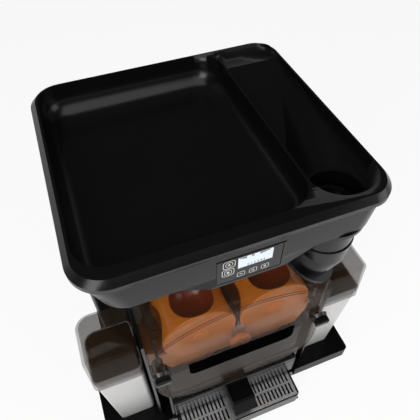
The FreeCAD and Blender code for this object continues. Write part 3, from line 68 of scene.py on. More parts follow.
lens = bpy.data.cameras.new("studio_camera")
lens.sensor_width = SENSOR
lens.lens = SENSOR * FOCAL_PIXELS / PHOTO_SIDE
lens.clip_start, lens.clip_end = 0.02, 60
camera = bpy.data.objects.new("studio_camera", lens)
bpy.context.scene.collection.objects.link(camera)
turn = Matrix.Rotation(-YAW, 4, "Z") @ Matrix.Rotation(math.pi / 2 - PITCH, 4, "X")
camera.matrix_world = Matrix.Translation(CAMERA_PLACE) @ turn @ Matrix.Rotation(-ROLL, 4, "Z")
bpy.context.scene.camera = camera
print("lens: %.1f mm" % lens.lens)

# %% [markdown]
# ## Helpers for modelling by hand
# Operators work on what is selected, and the loader leaves the whole model selected. So each
# piece starts from an empty selection, and faces are picked in code, by where they lie or which
# way they face. A small context manager opens edit mode and closes it again, which keeps each
# step readable.

# %% Selecting and editing
from contextlib import contextmanager


def begin():
    """Nothing selected, object mode."""
    if bpy.context.object and bpy.context.object.mode != "OBJECT":
        bpy.ops.object.mode_set(mode="OBJECT")
    bpy.ops.object.select_all(action="DESELECT")


@contextmanager
def editing(piece, kind="FACE"):
    """Edit mode on one piece, with everything in it deselected first."""
    begin()
    piece.select_set(True)
    bpy.context.view_layer.objects.active = piece
    bpy.ops.object.mode_set(mode="EDIT")
    bpy.ops.mesh.select_mode(type=kind)
    bpy.ops.mesh.select_all(action="DESELECT")
    yield piece
    bpy.ops.object.mode_set(mode="OBJECT")


def pick_faces(piece, test):
    """Select the faces whose centre and normal pass a test; call it inside editing()."""
    bpy.ops.mesh.select_all(action="DESELECT")
    bpy.ops.object.mode_set(mode="OBJECT")
    for face in piece.data.polygons:
        face.select = bool(test(face.center, face.normal))
    bpy.ops.object.mode_set(mode="EDIT")


def pick_edges(piece, test):
    """Select the edges whose two ends pass a test; call it inside editing(piece, "EDGE")."""
    bpy.ops.mesh.select_all(action="DESELECT")
    bpy.ops.object.mode_set(mode="OBJECT")
    for edge in piece.data.edges:
        ends = [piece.data.vertices[index].co for index in edge.vertices]
        edge.select = bool(test(*ends))
    bpy.ops.object.mode_set(mode="EDIT")


def settle(piece, name, angle=30):
    """Name a piece, put its place into its mesh, point its faces outwards and smooth it."""
    begin()
    piece.name = name
    piece.data.name = name
    piece.select_set(True)
    bpy.context.view_layer.objects.active = piece
    bpy.ops.object.transform_apply(location=True, rotation=True, scale=True)
    with editing(piece):
        bpy.ops.mesh.select_all(action="SELECT")
        bpy.ops.mesh.remove_doubles(threshold=0.00001)
        bpy.ops.mesh.normals_make_consistent(inside=False)
    bpy.ops.object.shade_smooth_by_angle(angle=math.radians(angle))
    begin()
    return piece


print("helpers: begin, editing, pick_faces, pick_edges, settle")

# %% [markdown]
# ## Finishes as short sums
# A material is a little program of nodes. Linking them one by one makes long scripts, so one
# class wraps a socket: adding or multiplying with it adds the Math node that does it. A
# second class makes one material and any other node it needs. What varies over a surface goes
# only to colour, roughness, alpha or bump, which also survive when the model is exported.

# %% Sockets in sums
class Wire:
    """An output socket that can be added, subtracted and multiplied."""

    def __init__(self, finish, socket):
        self.finish = finish
        self.socket = socket

    def maths(self, operation, first, second):
        node = self.finish.node("ShaderNodeMath", {"operation": operation},
                                {0: first, 1: second})
        return Wire(self.finish, node.outputs[0])

    def __add__(self, other):
        return self.maths("ADD", self, other)

    def __sub__(self, other):
        return self.maths("SUBTRACT", self, other)

    def __mul__(self, other):
        return self.maths("MULTIPLY", self, other)

    def over(self, level):
        return self.maths("GREATER_THAN", self, level)

    def under(self, level):
        return self.maths("LESS_THAN", self, level)

    def absolute(self):
        return self.maths("ABSOLUTE", self, 0)


# %% One material
def paint(code):
    """A colour as it shows on screen, such as 4a4a4a, as linear red, green and blue."""
    parts = [int(code[place:place + 2], 16) / 255 for place in (0, 2, 4)]
    return tuple(part / 12.92 if part <= 0.04045 else ((part + 0.055) / 1.055) ** 2.4
                 for part in parts)


class Finish:
    """A material with one Principled shader, and the nodes that feed it."""

    def __init__(self, name, colour, roughness, **sockets):
        self.material = bpy.data.materials.new(name)
        self.material.use_nodes = True
        self.tree = self.material.node_tree
        self.shader = self.tree.nodes["Principled BSDF"]
        self.shader.inputs["Base Color"].default_value = (*colour, 1)
        self.shader.inputs["Roughness"].default_value = roughness
        for socket, value in sockets.items():
            self.shader.inputs[socket.replace("_", " ")].default_value = value

    def node(self, kind, settings, inputs):
        """Any node: its kind, its settings first, then values or wires for its sockets."""
        made = self.tree.nodes.new(kind)
        for setting, value in settings.items():
            setattr(made, setting, value)
        for socket, value in inputs.items():
            if isinstance(value, Wire):
                self.tree.links.new(value.socket, made.inputs[socket])
            else:
                made.inputs[socket].default_value = value
        return made

    def feed(self, socket, wire):
        """Lead a wire to the shader."""
        self.tree.links.new(wire.socket, self.shader.inputs[socket])

    def place(self, stretch=(1, 1, 1)):
        """The point on the object, in metres, stretched."""
        start = self.node("ShaderNodeTexCoord", {}, {})
        scaled = self.node("ShaderNodeMapping", {},
                           {"Vector": Wire(self, start.outputs["Object"]),
                            "Scale": stretch})
        return Wire(self, scaled.outputs["Vector"])

    def noise(self, scale, detail=2.0, stretch=(1, 1, 1)):
        """Cloudy noise from 0 to 1."""
        made = self.node("ShaderNodeTexNoise", {}, {"Vector": self.place(stretch),
                                                    "Scale": scale, "Detail": detail})
        return Wire(self, made.outputs["Fac"])

    def blend(self, share, first, second):
        """A colour between two colours or colour wires, by a wire from 0 to 1."""
        ends = [end if isinstance(end, Wire) else (*end, 1) for end in (first, second)]
        made = self.node("ShaderNodeMix", {"data_type": "RGBA", "clamp_factor": True},
                         {0: share, 6: ends[0], 7: ends[1]})
        return Wire(self, made.outputs[2])

    def reach(self, point):
        """How far the surface lies from a point, in metres."""
        made = self.node("ShaderNodeVectorMath", {"operation": "DISTANCE"},
                         {0: self.place(), 1: point})
        return Wire(self, made.outputs["Value"])

    def turned_from(self, centre):
        """Above 0 where the surface faces away from a point, below 0 where it faces it."""
        start = self.node("ShaderNodeTexCoord", {}, {})
        arm = self.node("ShaderNodeVectorMath", {"operation": "SUBTRACT"},
                        {0: Wire(self, start.outputs["Object"]), 1: centre})
        made = self.node("ShaderNodeVectorMath", {"operation": "DOT_PRODUCT"},
                         {0: Wire(self, arm.outputs[0]), 1: Wire(self, start.outputs["Normal"])})
        return Wire(self, made.outputs["Value"])

    def bump(self, height, depth):
        """Turn a height into a slope of the surface, its depth in metres."""
        made = self.node("ShaderNodeBump", {}, {"Height": height, "Distance": depth})
        self.feed("Normal", Wire(self, made.outputs["Normal"]))


def shift(colour, factor):
    """A colour made lighter or darker."""
    return tuple(min(1, part * factor) for part in colour)


finishes = {}
print("screen grey 4a4a4a is", paint("4a4a4a"))

# %% [markdown]
# ## Black mouldings
# Most of the machine is black injection-moulded plastic with a fine satin grain. Its colour
# alone is nearly black; the grey that the eye sees on upright faces is the pale floor mirrored
# in the satin, while level faces mirror the dim air above and stay black. So the colour stays
# dark, the roughness sits between gloss and matt, and a very fine bump breaks the mirror image.
# A slow change in roughness keeps large faces from looking computed.

# %% Satin plastics
def moulding(name, colour, roughness, grain=0.00002, grain_scale=1500, gloss=0.5, coat=0.0,
             patch=0.05):
    """Moulded plastic: slow colour and roughness drift, and a fine grain."""
    finish = Finish(name, colour, roughness, Specular_IOR_Level=gloss, Coat_Weight=coat,
                    Coat_Roughness=0.08)
    drift = finish.noise(9, 3)
    finish.feed("Base Color", finish.blend(drift, shift(colour, 0.85), shift(colour, 1.2)))
    finish.feed("Roughness", (finish.noise(35, 3) - 0.5) * patch + roughness)
    finish.bump(finish.noise(grain_scale, 2), grain)
    finishes[name] = finish
    return finish


moulding("base_black", (0.0028, 0.0028, 0.0029), 0.26, gloss=0.30)
moulding("hopper_black", (0.0024, 0.0024, 0.0025), 0.26, gloss=0.24)
moulding("tray_black", (0.0035, 0.0035, 0.0035), 0.30, gloss=0.36)
moulding("tap_black", (0.0030, 0.0028, 0.0027), 0.24, gloss=0.40)
moulding("switch_black", (0.010, 0.010, 0.010), 0.38)
moulding("rocker_black", (0.008, 0.008, 0.008), 0.22)
moulding("knob_black", (0.0032, 0.0027, 0.0024), 0.22, gloss=0.30)
moulding("panel_gloss", (0.0028, 0.0028, 0.0029), 0.25, grain=0.00001, gloss=0.36)
moulding("pipe_plastic", (0.55, 0.55, 0.52), 0.40)
moulding("rubber", (0.012, 0.012, 0.012), 0.75, grain=0.00006, grain_scale=700)
moulding("label_black", (0.0010, 0.0010, 0.0010), 0.80, grain=0.00001, gloss=0.0)
# painted shadow: the black of the control panel's gap lines, drawn on the two sides where the
# gap's shadow falls
moulding("seam_black", (0.0010, 0.0010, 0.0010), 0.80, gloss=0.0)
moulding("tap_dark", (0.0020, 0.0018, 0.0017), 0.30, gloss=0.05)
moulding("wing_dark", (0.0014, 0.0014, 0.0014), 0.34, gloss=0.08)
print(len(finishes), "plastics")

# %% [markdown]
# ## Amber and grey mouldings
# The press drums are orange and the tank behind the clear cover is grey. Both are food grade
# plastics with more gloss than the black ones, and the drums get a thin clear coat. The orange
# could be let through as real translucent plastic, but thick drums hide that; a warm colour that
# drifts a little says the same and stays clean at few samples.

# %% Orange and grey plastics
AMBER = (0.90, 0.250, 0.014)
moulding("drum_amber", AMBER, 0.30, coat=0.25)
moulding("knob_orange", (0.60, 0.17, 0.030), 0.28, coat=0.3)
moulding("ejector_plastic", (0.50, 0.16, 0.030), 0.36)
moulding("tank_grey", (0.010, 0.0095, 0.0090), 0.30, gloss=0.12)
moulding("chamber_grey", (0.018, 0.012, 0.010), 0.34)
print(len(finishes), "finishes so far")

# %% [markdown]
# ## Cups that drink the light
# Each upper drum has four deep round cups. In such a cup the light is thrown from wall to wall
# and comes back redder and much darker, more than a picture at few samples shows. So that shade
# is painted into the colour: where the surface lies exactly one cup radius from a cup's centre
# it belongs to that cup. The cup on top, which the tinted roof shades, gets a deep red-brown
# painted shade, the one in the nip between the drums a dark amber painted shade, and the others
# stay nearly plain. Distance in the object's own coordinates turns with the drum, so the painted
# shade stays in its cup when it moves.

# %% Amber with dark cups
CUP_RADIUS = 0.0395
CUP_DEPTH = -0.143
HUB_HEIGHT = 0.412
HUB_SIDE = 0.072
CUP_ARM = 0.0705
for side, drum in ((-1, "upper_left_drum"), (1, "upper_right_drum")):
    cupped = moulding(drum, AMBER, 0.30, coat=0.25)
    tone = cupped.blend(cupped.noise(9, 3), shift(AMBER, 0.90), shift(AMBER, 1.10))
    plain = cupped.blend(cupped.noise(30, 2), (0.86, 0.260, 0.020), (0.92, 0.285, 0.024))
    # painted shade: the nip cup and the top cup, which get little light, are darkened in their
    # colour
    painted_nip_shade = cupped.blend(cupped.noise(30, 2), (0.260, 0.050, 0.004), (0.320, 0.062, 0.006))
    painted_roof_shade = cupped.blend(cupped.noise(30, 2), (0.220, 0.0200, 0.0008), (0.300, 0.0300, 0.0012))
    for across, up, cup_tone in ((side, 0, plain), (-side, 0, painted_nip_shade), (0, -1, plain),
                                 (0, 1, painted_roof_shade)):
        centre = (side * HUB_SIDE + across * CUP_ARM, CUP_DEPTH, HUB_HEIGHT + up * CUP_ARM)
        away = cupped.reach(centre) - CUP_RADIUS
        tone = cupped.blend(away.absolute().over(0.0008), cup_tone, tone)
    cupped.feed("Base Color", tone)
print("the drums' cups have a radius of %.1f mm" % (CUP_RADIUS * 1000))

# %% [markdown]
# ## Metals
# Sheet steel that was rolled and brushed shows fine lines along one direction. The lines are
# noise squeezed across and stretched along the sheet; they change the roughness and tilt the
# surface a little, which spreads a reflection across the grain. Painted and cast metals use the
# cloudy noise instead.

# %% Metals
def brushed(name, colour, roughness, along=(1, 1, 0.02), depth=0.000008, scale=420):
    """Brushed metal whose lines run along one axis."""
    finish = Finish(name, colour, roughness, Metallic=1.0)
    lines = finish.noise(scale, 4, along)
    cloud = finish.noise(7, 2)
    finish.tone = finish.blend(cloud, shift(colour, 0.94), shift(colour, 1.05))
    finish.feed("Base Color", finish.tone)
    finish.feed("Roughness", (lines - 0.5) * 0.16 + roughness)
    finish.bump(lines, depth)
    finishes[name] = finish
    return finish


def enamel(name, colour, roughness, metallic=0.0):
    """Powder coat or oiled cast metal, with a faint orange-peel surface."""
    finish = Finish(name, colour, roughness, Metallic=metallic)
    peel = finish.noise(260, 2)
    finish.feed("Base Color", finish.blend(finish.noise(14, 3), shift(colour, 0.85),
                                           shift(colour, 1.15)))
    finish.feed("Roughness", (peel - 0.5) * 0.12 + roughness)
    finish.bump(peel, 0.00005)
    finishes[name] = finish
    return finish


STEEL = (0.66, 0.655, 0.645)
brushed("sheet_steel", STEEL, 0.33, (1, 1, 0.02))
brushed("grille_steel", (0.46, 0.46, 0.46), 0.36, (0.02, 1, 1))
brushed("blade_steel", (0.72, 0.72, 0.72), 0.22, (1, 0.02, 1))
brushed("shaft_steel", (0.60, 0.60, 0.61), 0.25, (0.3, 0.02, 0.3))
brushed("frame_aluminium", (0.70, 0.70, 0.71), 0.38, (1, 1, 0.03))
enamel("housing_black", (0.0060, 0.0060, 0.0063), 0.34)
enamel("side_black", (0.0035, 0.0033, 0.0032), 0.30)
enamel("motor_grey", (0.20, 0.21, 0.22), 0.45)
enamel("gear_steel", (0.28, 0.28, 0.29), 0.36, 1.0)
enamel("bearing_bronze", (0.60, 0.40, 0.18), 0.34, 1.0)
print(len(finishes), "finishes so far")

# %% [markdown]
# ## Peel bins: silver outside, painted shade inside
# The bins are silver sheet outside. Inside, under their tinted caps, they lie in shade, and that
# shade is painted nearly black into the colour of the inside walls, where it shows through the
# caps. The bin is one solid with one material, so the material itself must tell the two sides
# apart: a wall of the outside faces away from the bin's middle, and a wall of the inside faces
# it. The arm from the middle to the point, dotted with the normal, says which.

# %% Bin finishes
for side, name in ((-1, "peel_bin_left"), (1, "peel_bin_right")):
    shaded_bin = brushed(name, (0.66, 0.655, 0.645), 0.40, (1, 1, 0.02))
    shaded_bin.shader.inputs["Metallic"].default_value = 0.45
    # painted shade: near black on the inside walls stands for the shade under the tinted caps
    inner = shaded_bin.turned_from((side * 0.227, -0.129, 0.222)).under(0)
    shaded_bin.feed("Base Color", shaded_bin.blend(inner, shaded_bin.tone, (0.004, 0.0035, 0.003)))
print("two bins, dark inside")

# %% [markdown]
# ## Smoke-tinted clear plastic
# The front cover and the bin caps are clear plastic tinted grey-brown. Real refraction would
# also bend light, but it darkens and blurs what lies behind at few samples. Alpha does it
# better here: each wall is crossed by two surfaces, and each lets two thirds of the light
# through, or three quarters in the cover, and adds a little of its own brown. Upright faces
# mirror the pale floor, which veils what is behind them a little, and the cover's roof mirrors
# the dim air, which leaves the colours below clear.

# %% Tinted and lit plastics
def smoke(name, colour, alpha, roughness):
    """See-through plastic that takes a little light away at each surface."""
    finish = Finish(name, colour, roughness, Specular_IOR_Level=0.20)
    finish.feed("Base Color", finish.blend(finish.noise(6, 2), shift(colour, 0.9),
                                           shift(colour, 1.1)))
    finish.feed("Alpha", (finish.noise(5, 1) - 0.5) * 0.03 + alpha)
    finish.feed("Roughness", (finish.noise(40, 2) - 0.5) * 0.04 + roughness)
    finishes[name] = finish
    return finish


smoke("smoke_clear", (0.034, 0.020, 0.011), 0.345, 0.10)
smoke("front_cover", (0.040, 0.022, 0.012), 0.245, 0.10)
smoke("smoke_edge", (0.010, 0.006, 0.005), 0.85, 0.20)
screen = moulding("screen_glass", shift(paint("e8f3fa"), 0.45), 0.30)
screen.shader.inputs["Emission Color"].default_value = (*paint("e8f3fa"), 1)
screen.shader.inputs["Emission Strength"].default_value = 0.50
moulding("print_white", (0.60, 0.59, 0.57), 0.50)
moulding("screen_dark", (0.020, 0.024, 0.028), 0.60, gloss=0.1)
print("the last of", len(finishes), "finishes is made")

# %% Put the finishes on the model
own_finish = {"side_panel_left": "side_black", "side_panel_right": "side_black",
              "tap_body": "tap_dark", "tap_lever": "tap_dark", "wing_trays": "wing_dark",
              "feed_elbow": "tap_black"}
for piece in frame["record"]["subparts"]:
    node = frame["nodes"][piece["node"]]
    choice = own_finish.get(piece["node"], piece["node"])
    if choice not in finishes:
        choice = piece["material_slot"]
    node.data.materials.clear()
    node.data.materials.append(finishes[choice].material)
bare = [name for name, node in frame["nodes"].items() if not node.data.materials[0]]
print("nodes without a finish:", bare)

# %% [markdown]
# ## Thin plates and printed lines
# The control panel carries flat things that are only as thick as a sticker: a bezel, keys, and
# lines and signs printed on them. Each could be painted in a texture, but then it would have no
# edge to catch light, so each is a piece of its own. One helper makes an upright plate from a
# cube whose corner edges are bevelled round. Another makes a printed line from a flat rectangle:
# its corners are bevelled, its face is inset, the inner face is deleted and the rest extruded.

# %% Plates and lines
INK = 0.00012


def dress(piece, finish, body):
    """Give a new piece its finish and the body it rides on."""
    piece.data.materials.clear()
    piece.data.materials.append(finishes[finish].material)
    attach(piece, body)
    return piece


def plate(name, low, high, corner, low_corner=None):
    """A thin upright plate that faces the front, with round corners."""
    begin()
    low, high = Vector(low), Vector(high)
    bpy.ops.mesh.primitive_cube_add(size=1, location=(low + high) / 2)
    piece = bpy.context.object
    piece.scale = high - low
    bpy.ops.object.transform_apply(location=True, rotation=True, scale=True)
    centre = (low.z + high.z) / 2
    for upper, size in ((True, corner), (False, low_corner or corner)):
        with editing(piece, "EDGE"):
            pick_edges(piece, lambda a, b: abs(a.y - b.y) > 0.5 * (high.y - low.y)
                       and abs(a.x - b.x) < 1e-7 and abs(a.z - b.z) < 1e-7
                       and (a.z > centre) == upper
                       and min(abs(a.z - low.z), abs(a.z - high.z)) < 1e-6
                       and min(abs(a.x - low.x), abs(a.x - high.x)) < 1e-6)
            bpy.ops.mesh.bevel(offset=size, segments=4)
    return settle(piece, name)


def flat(centre, width, height, y):
    """A rectangle that faces the front, as a start for printed things."""
    begin()
    bpy.ops.mesh.primitive_plane_add(size=1, location=(centre[0], y, centre[1]),
                                     rotation=(math.pi / 2, 0, 0))
    piece = bpy.context.object
    piece.scale = (width, height, 1)
    bpy.ops.object.transform_apply(location=True, rotation=True, scale=True)
    return piece


def printed(name, centre, width, height, corner, line, y):
    """A printed line around a round-cornered rectangle, or a filled one when line is 0."""
    piece = flat(centre, width, height, y)
    with editing(piece, "VERT"):
        bpy.ops.mesh.select_all(action="SELECT")
        bpy.ops.mesh.bevel(offset=corner, segments=4, affect="VERTICES")
        bpy.ops.mesh.select_mode(type="FACE")
        bpy.ops.mesh.select_all(action="SELECT")
        if line:
            bpy.ops.mesh.inset(thickness=line)
            bpy.ops.mesh.delete(type="FACE")
            bpy.ops.mesh.select_all(action="SELECT")
        bpy.ops.mesh.extrude_region_move(TRANSFORM_OT_translate={"value": (0, -INK, 0)})
    return settle(piece, name)


def arrow(name, centre, radius, turn, y):
    """A printed triangle that points right, or left when turned by pi."""
    begin()
    bpy.ops.mesh.primitive_circle_add(vertices=3, radius=radius, fill_type="NGON",
                                      rotation=(math.pi / 2, turn - math.pi / 2, 0),
                                      location=(centre[0], y, centre[1]))
    piece = bpy.context.object
    bpy.ops.object.transform_apply(location=True, rotation=True, scale=True)
    with editing(piece, "VERT"):
        bpy.ops.mesh.select_all(action="SELECT")
        bpy.ops.mesh.bevel(offset=radius / 6, segments=2, affect="VERTICES")
        bpy.ops.mesh.select_mode(type="FACE")
        bpy.ops.mesh.select_all(action="SELECT")
        bpy.ops.mesh.extrude_region_move(TRANSFORM_OT_translate={"value": (0, -INK, 0)})
    return settle(piece, name)


def joined(name, pieces):
    """Join pieces into the first one."""
    begin()
    for piece in pieces:
        piece.select_set(True)
    bpy.context.view_layer.objects.active = pieces[0]
    bpy.ops.object.join()
    pieces[0].name = name
    pieces[0].data.name = name
    begin()
    return pieces[0]


print("one printed line is %.2f mm proud" % (INK * 1000))

# %% [markdown]
# ## A crisp rim for the hopper
# The real hopper's rim has a flat top and a flat bevel all round, which mirror the room as two
# clean bands; its right border is narrower than its left one. The solid has a rounded rim. A
# copy of it is merged and shaped: the faces of the round are deleted, the two open edge loops
# are bridged, which gives the bevel, and the outer edge on the right is drawn in. The skirt
# below is copied and its right side drawn in to match. The solids stay what the machine
# collides with, and these copies are what the eye sees.

# %% Copies to shape
def shaped_copy(name, node):
    """A merged copy of a node's mesh, ready to be shaped."""
    source = frame["nodes"][node]
    piece = bpy.data.objects.new(name, source.data.copy())
    bpy.context.scene.collection.objects.link(piece)
    with editing(piece):
        bpy.ops.mesh.select_all(action="SELECT")
        bpy.ops.mesh.remove_doubles(threshold=0.00001)
    return piece


def pick_points(piece, test):
    """Select the points that pass a test; call it inside editing(piece, "VERT")."""
    bpy.ops.mesh.select_all(action="DESELECT")
    bpy.ops.object.mode_set(mode="OBJECT")
    for point in piece.data.vertices:
        point.select = bool(test(point.co))
    bpy.ops.object.mode_set(mode="EDIT")


RIM_TOP = 0.700
ROUND = 0.009
CORNER_X, CORNER_Y, CORNER_TOP = 0.1830, 0.1655, 0.0430


def past_top(place):
    """How far a point lies outside the edge of the rim's flat top."""
    across = max(abs(place.x) - CORNER_X, 0)
    along = max(abs(place.y) - CORNER_Y, 0)
    return math.hypot(across, along) - CORNER_TOP


# %% Hopper with a bevelled rim
hopper = shaped_copy("hopper_basket", "hopper_tray")
with editing(hopper):
    pick_faces(hopper, lambda centre, normal: RIM_TOP - ROUND < centre.z < RIM_TOP - 0.00001
               and normal.z > 0.02 and past_top(centre) > 0)
    bpy.ops.mesh.delete(type="FACE")
with editing(hopper, "EDGE"):
    bpy.ops.mesh.select_non_manifold()
    bpy.ops.mesh.bridge_edge_loops()
with editing(hopper, "VERT"):
    pick_points(hopper, lambda place: place.z > 0.6825 and place.x > 0.150
                and past_top(place) > -0.0015)
    bpy.ops.transform.resize(value=(0.8706, 1, 1), center_override=(0.150, 0, 0))
settle(hopper, "hopper_basket", 25)
dress(hopper, "hopper_black", "hopper")
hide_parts("hopper_tray")
open_edges = sum(1 for edge in hopper.data.edges if edge.is_loose)
print("hopper:", len(hopper.data.polygons), "faces, loose edges", open_edges)

# %% Skirt, drawn in on the right
skirt = shaped_copy("hopper_fascia", "hopper_skirt")
for low, high, share in ((0.680, 0.690, 0.918), (0.610, 0.625, 1.035)):
    with editing(skirt, "VERT"):
        pick_points(skirt, lambda place: low < place.z < high and place.x > 0.110)
        bpy.ops.transform.resize(value=(share, 1, 1), center_override=(0.110, 0, 0))
settle(skirt, "hopper_fascia", 25)
dress(skirt, "base_black", "machine")
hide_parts("hopper_skirt")
print("fascia box:", skirt.dimensions)

# %% [markdown]
# ## Caps and bins, brought to the picture
# The caps of the peel bins reach further down over the bins and are fuller at the top than
# their solids, and the bins are a little deeper. All of these are changes of size and not of
# form, so copies are drawn out by a few millimetres: points are picked by their height, and
# moved, or scaled about the side that stays.

# %% Caps and bins
for side, word in ((-1, "left"), (1, "right")):
    cap = shaped_copy("peel_cap_" + word, "bin_cap_" + word)
    with editing(cap, "VERT"):
        pick_points(cap, lambda place: place.z > 0.390)
        bpy.ops.transform.resize(value=(1.068, 1, 1), center_override=(side * 0.1788, 0, 0))
        pick_points(cap, lambda place: place.z < 0.3450)
        bpy.ops.transform.translate(value=(0, 0, -0.0180))
        pick_points(cap, lambda place: place.y < -0.150)
        bpy.ops.transform.translate(value=(0, -0.0050, 0))
    settle(cap, "peel_cap_" + word, 25)
    dress(cap, "smoke_clear", word + "_cap")
    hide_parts("bin_cap_" + word)
    drawer = shaped_copy("peel_drawer_" + word, "peel_bin_" + word)
    with editing(drawer, "VERT"):
        pick_points(drawer, lambda place: place.z > 0.350 and place.y < -0.150)
        bpy.ops.transform.translate(value=(0, -0.0050, 0))
    settle(drawer, "peel_drawer_" + word, 25)
    dress(drawer, "peel_bin_" + word, word + "_bin")
    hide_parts("peel_bin_" + word)
    print(word, "cap:", [round(length * 1000) for length in cap.dimensions], "mm")

# %% [markdown]
# ## The display and its bezel
# The display is a bright strip under a black frame. The frame is one thin flat plate with round
# corners, a little larger than the glass and hardly thicker than a printed line. The glass lies
# over it, nearly level with its face, and its dark signs are generic: level bars above, and a
# row of plain digits below. Digits start as a text object, which is made a mesh before it gets
# its place, because a text in the scene couldn't be exported.

# %% Display
GLASS_LOW, GLASS_HIGH = (-0.0205, 0.6283), (0.0315, 0.6525)
PANEL_FACE = -0.2080
GLASS_FACE = PANEL_FACE - 0.0003
glass = plate("display_glass", (GLASS_LOW[0], GLASS_FACE, GLASS_LOW[1]),
              (GLASS_HIGH[0], PANEL_FACE + 0.0002, GLASS_HIGH[1]), 0.0005)
dress(glass, "screen_glass", "machine")
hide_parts("display_window")
bezel = plate("display_bezel", (-0.0225, PANEL_FACE - 0.0002, 0.6232),
              (0.0400, PANEL_FACE, 0.6540), 0.0012)
dress(bezel, "panel_gloss", "machine")
print("glass:", glass.name, "bezel:", bezel.name)

# %% Signs on the display
INK_FACE = GLASS_FACE
bars = []
for start, count, tall, step_down in ((-0.0175, 5, 0.0018, -0.0006), (0.0000, 2, 0.0034, 0),
                                      (0.0125, 7, 0.0042, 0.0004)):
    for step in range(count):
        height = tall - step * step_down
        bars.append(printed("bar", (start + step * 0.0021, 0.6520 - height / 2), 0.0015,
                            height, 0.0002, 0, INK_FACE))
begin()
bpy.ops.object.text_add(location=(0, 0, 0))
digits = bpy.context.object
digits.data.body = "0 1 2 3 4 5"
digits.data.align_x = "CENTER"
digits.data.size = 0.0062
digits.data.extrude = INK
bpy.ops.object.convert(target="MESH")
digits.rotation_euler = (math.pi / 2, 0, 0)
digits.location = (0.0070, INK_FACE, 0.6296)
settle(digits, "digits")
signs = joined("display_signs", bars + [digits])
dress(signs, "screen_dark", "machine")
print("signs:", len(signs.data.polygons), "faces")

# %% [markdown]
# ## Keys
# Under and beside the display are three small keys and a double key, all flat pads a little
# proud of the panel, each with a light outline and a plain sign: less, more, next, start and
# stop. One pad is modelled and copied for the small keys, each copy with its own mesh.

# %% Key pads
KEY_FACE = PANEL_FACE - 0.0004
KEY_SIZE = (0.0122, 0.0112)
KEY_PITCH = 0.0184
KEY_ROW = 0.6132
KEY_START = -0.0153
pads = [plate("pad", (KEY_START - KEY_SIZE[0] / 2, KEY_FACE, KEY_ROW - KEY_SIZE[1] / 2),
              (KEY_START + KEY_SIZE[0] / 2, PANEL_FACE, KEY_ROW + KEY_SIZE[1] / 2), 0.0030)]


def copied(piece, name, shift_by):
    """A copy with its own mesh, moved."""
    twin = piece.copy()
    twin.data = piece.data.copy()
    bpy.context.scene.collection.objects.link(twin)
    twin.data.transform(Matrix.Translation(shift_by))
    twin.name = name
    twin.data.name = name
    return twin


for step in (1, 2):
    pads.append(copied(pads[0], "pad", (step * KEY_PITCH, 0, 0)))
START_KEY, STOP_KEY = (-0.0338, 0.6452), (-0.0350, 0.6268)
for centre in (START_KEY, STOP_KEY):
    pads.append(plate("pad", (centre[0] - 0.0092, KEY_FACE, centre[1] - 0.0085),
                      (centre[0] + 0.0092, PANEL_FACE, centre[1] + 0.0085), 0.0045))
keys = joined("key_pads", pads)
dress(keys, "panel_gloss", "machine")
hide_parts("touch_keys")
print("key pads:", len(pads))

# %% Outlines and signs of the keys
prints = []
for step in range(3):
    prints.append(printed("ring", (KEY_START + step * KEY_PITCH, KEY_ROW), KEY_SIZE[0],
                          KEY_SIZE[1], 0.0030, 0.0009, KEY_FACE))
prints.append(printed("less", (KEY_START, KEY_ROW), 0.0050, 0.0013, 0.0002, 0, KEY_FACE))
prints.append(printed("more", (KEY_START + KEY_PITCH, KEY_ROW), 0.0050, 0.0013, 0.0002, 0,
                      KEY_FACE))
prints.append(printed("more", (KEY_START + KEY_PITCH, KEY_ROW), 0.0013, 0.0050, 0.0002, 0,
                      KEY_FACE))
prints.append(arrow("next", (KEY_START + 2 * KEY_PITCH, KEY_ROW), 0.0030, 0, KEY_FACE))
for centre in (START_KEY, STOP_KEY):
    prints.append(printed("ring", centre, 0.0184, 0.0170, 0.0045, 0.0010, KEY_FACE))
prints.append(printed("ring", START_KEY, 0.0112, 0.0104, 0.0045, 0.0008, KEY_FACE))
prints.append(arrow("start", START_KEY, 0.0028, 0, KEY_FACE))
prints.append(printed("ring", STOP_KEY, 0.0112, 0.0104, 0.0030, 0.0008, KEY_FACE))
prints.append(printed("stop", STOP_KEY, 0.0040, 0.0040, 0.0004, 0, KEY_FACE))
lines = joined("key_prints", prints)
dress(lines, "print_white", "machine")
# The control panel sits in a real gap, printed as black lines along its lower and right edges
# only, where the gap's shadow falls: painted shadow lines.
gap_shadow_lines = [printed("seam", (-0.0020, 0.6015), 0.0975, 0.0014, 0.0003, 0, PANEL_FACE),
         printed("seam", (0.0470, 0.6280), 0.0012, 0.0520, 0.0003, 0, PANEL_FACE)]
dress(joined("panel_gap_shadow", gap_shadow_lines), "seam_black", "machine")
print("printed lines and signs:", len(prints))

# %% [markdown]
# ## The plate across the cover
# A flat black plate lies across the front of the cover. It is left bare. Its lower corners are
# cut round and large, its upper ones small, and it is matt, so it stays black where the clear
# plastic around it mirrors the floor.

# %% Cover plate
COVER_FACE = -0.2120
LABEL_LOW, LABEL_HIGH = (-0.1045, 0.3230), (0.1045, 0.3710)
label = plate("cover_plate", (LABEL_LOW[0], COVER_FACE - 0.0008, LABEL_LOW[1]),
              (LABEL_HIGH[0], COVER_FACE, LABEL_HIGH[1]), 0.0020, 0.0140)
dress(label, "label_black", "cover")
print("plate:", [round(side * 1000, 1) for side in label.dimensions], "mm")

# %% [markdown]
# ## Dark edges of the clear cover
# A bent or moulded sheet of clear plastic looks dark along its edges, because there the eye
# looks along the sheet. A thin bead along each edge gives that line. A bead is a ring of eight
# points, led on in edit mode: an extrude for a straight run, a spin for a bend.

# %% Beads
BEND_STEPS = 16


def bead_start(place, turn, radius):
    """The ring of points at a bead's start, its axis turned from upright about y."""
    begin()
    bpy.ops.mesh.primitive_circle_add(vertices=8, radius=radius, fill_type="NOTHING",
                                      location=place, rotation=(0, turn, 0))
    bpy.ops.object.transform_apply(location=True, rotation=True, scale=True)
    return bpy.context.object


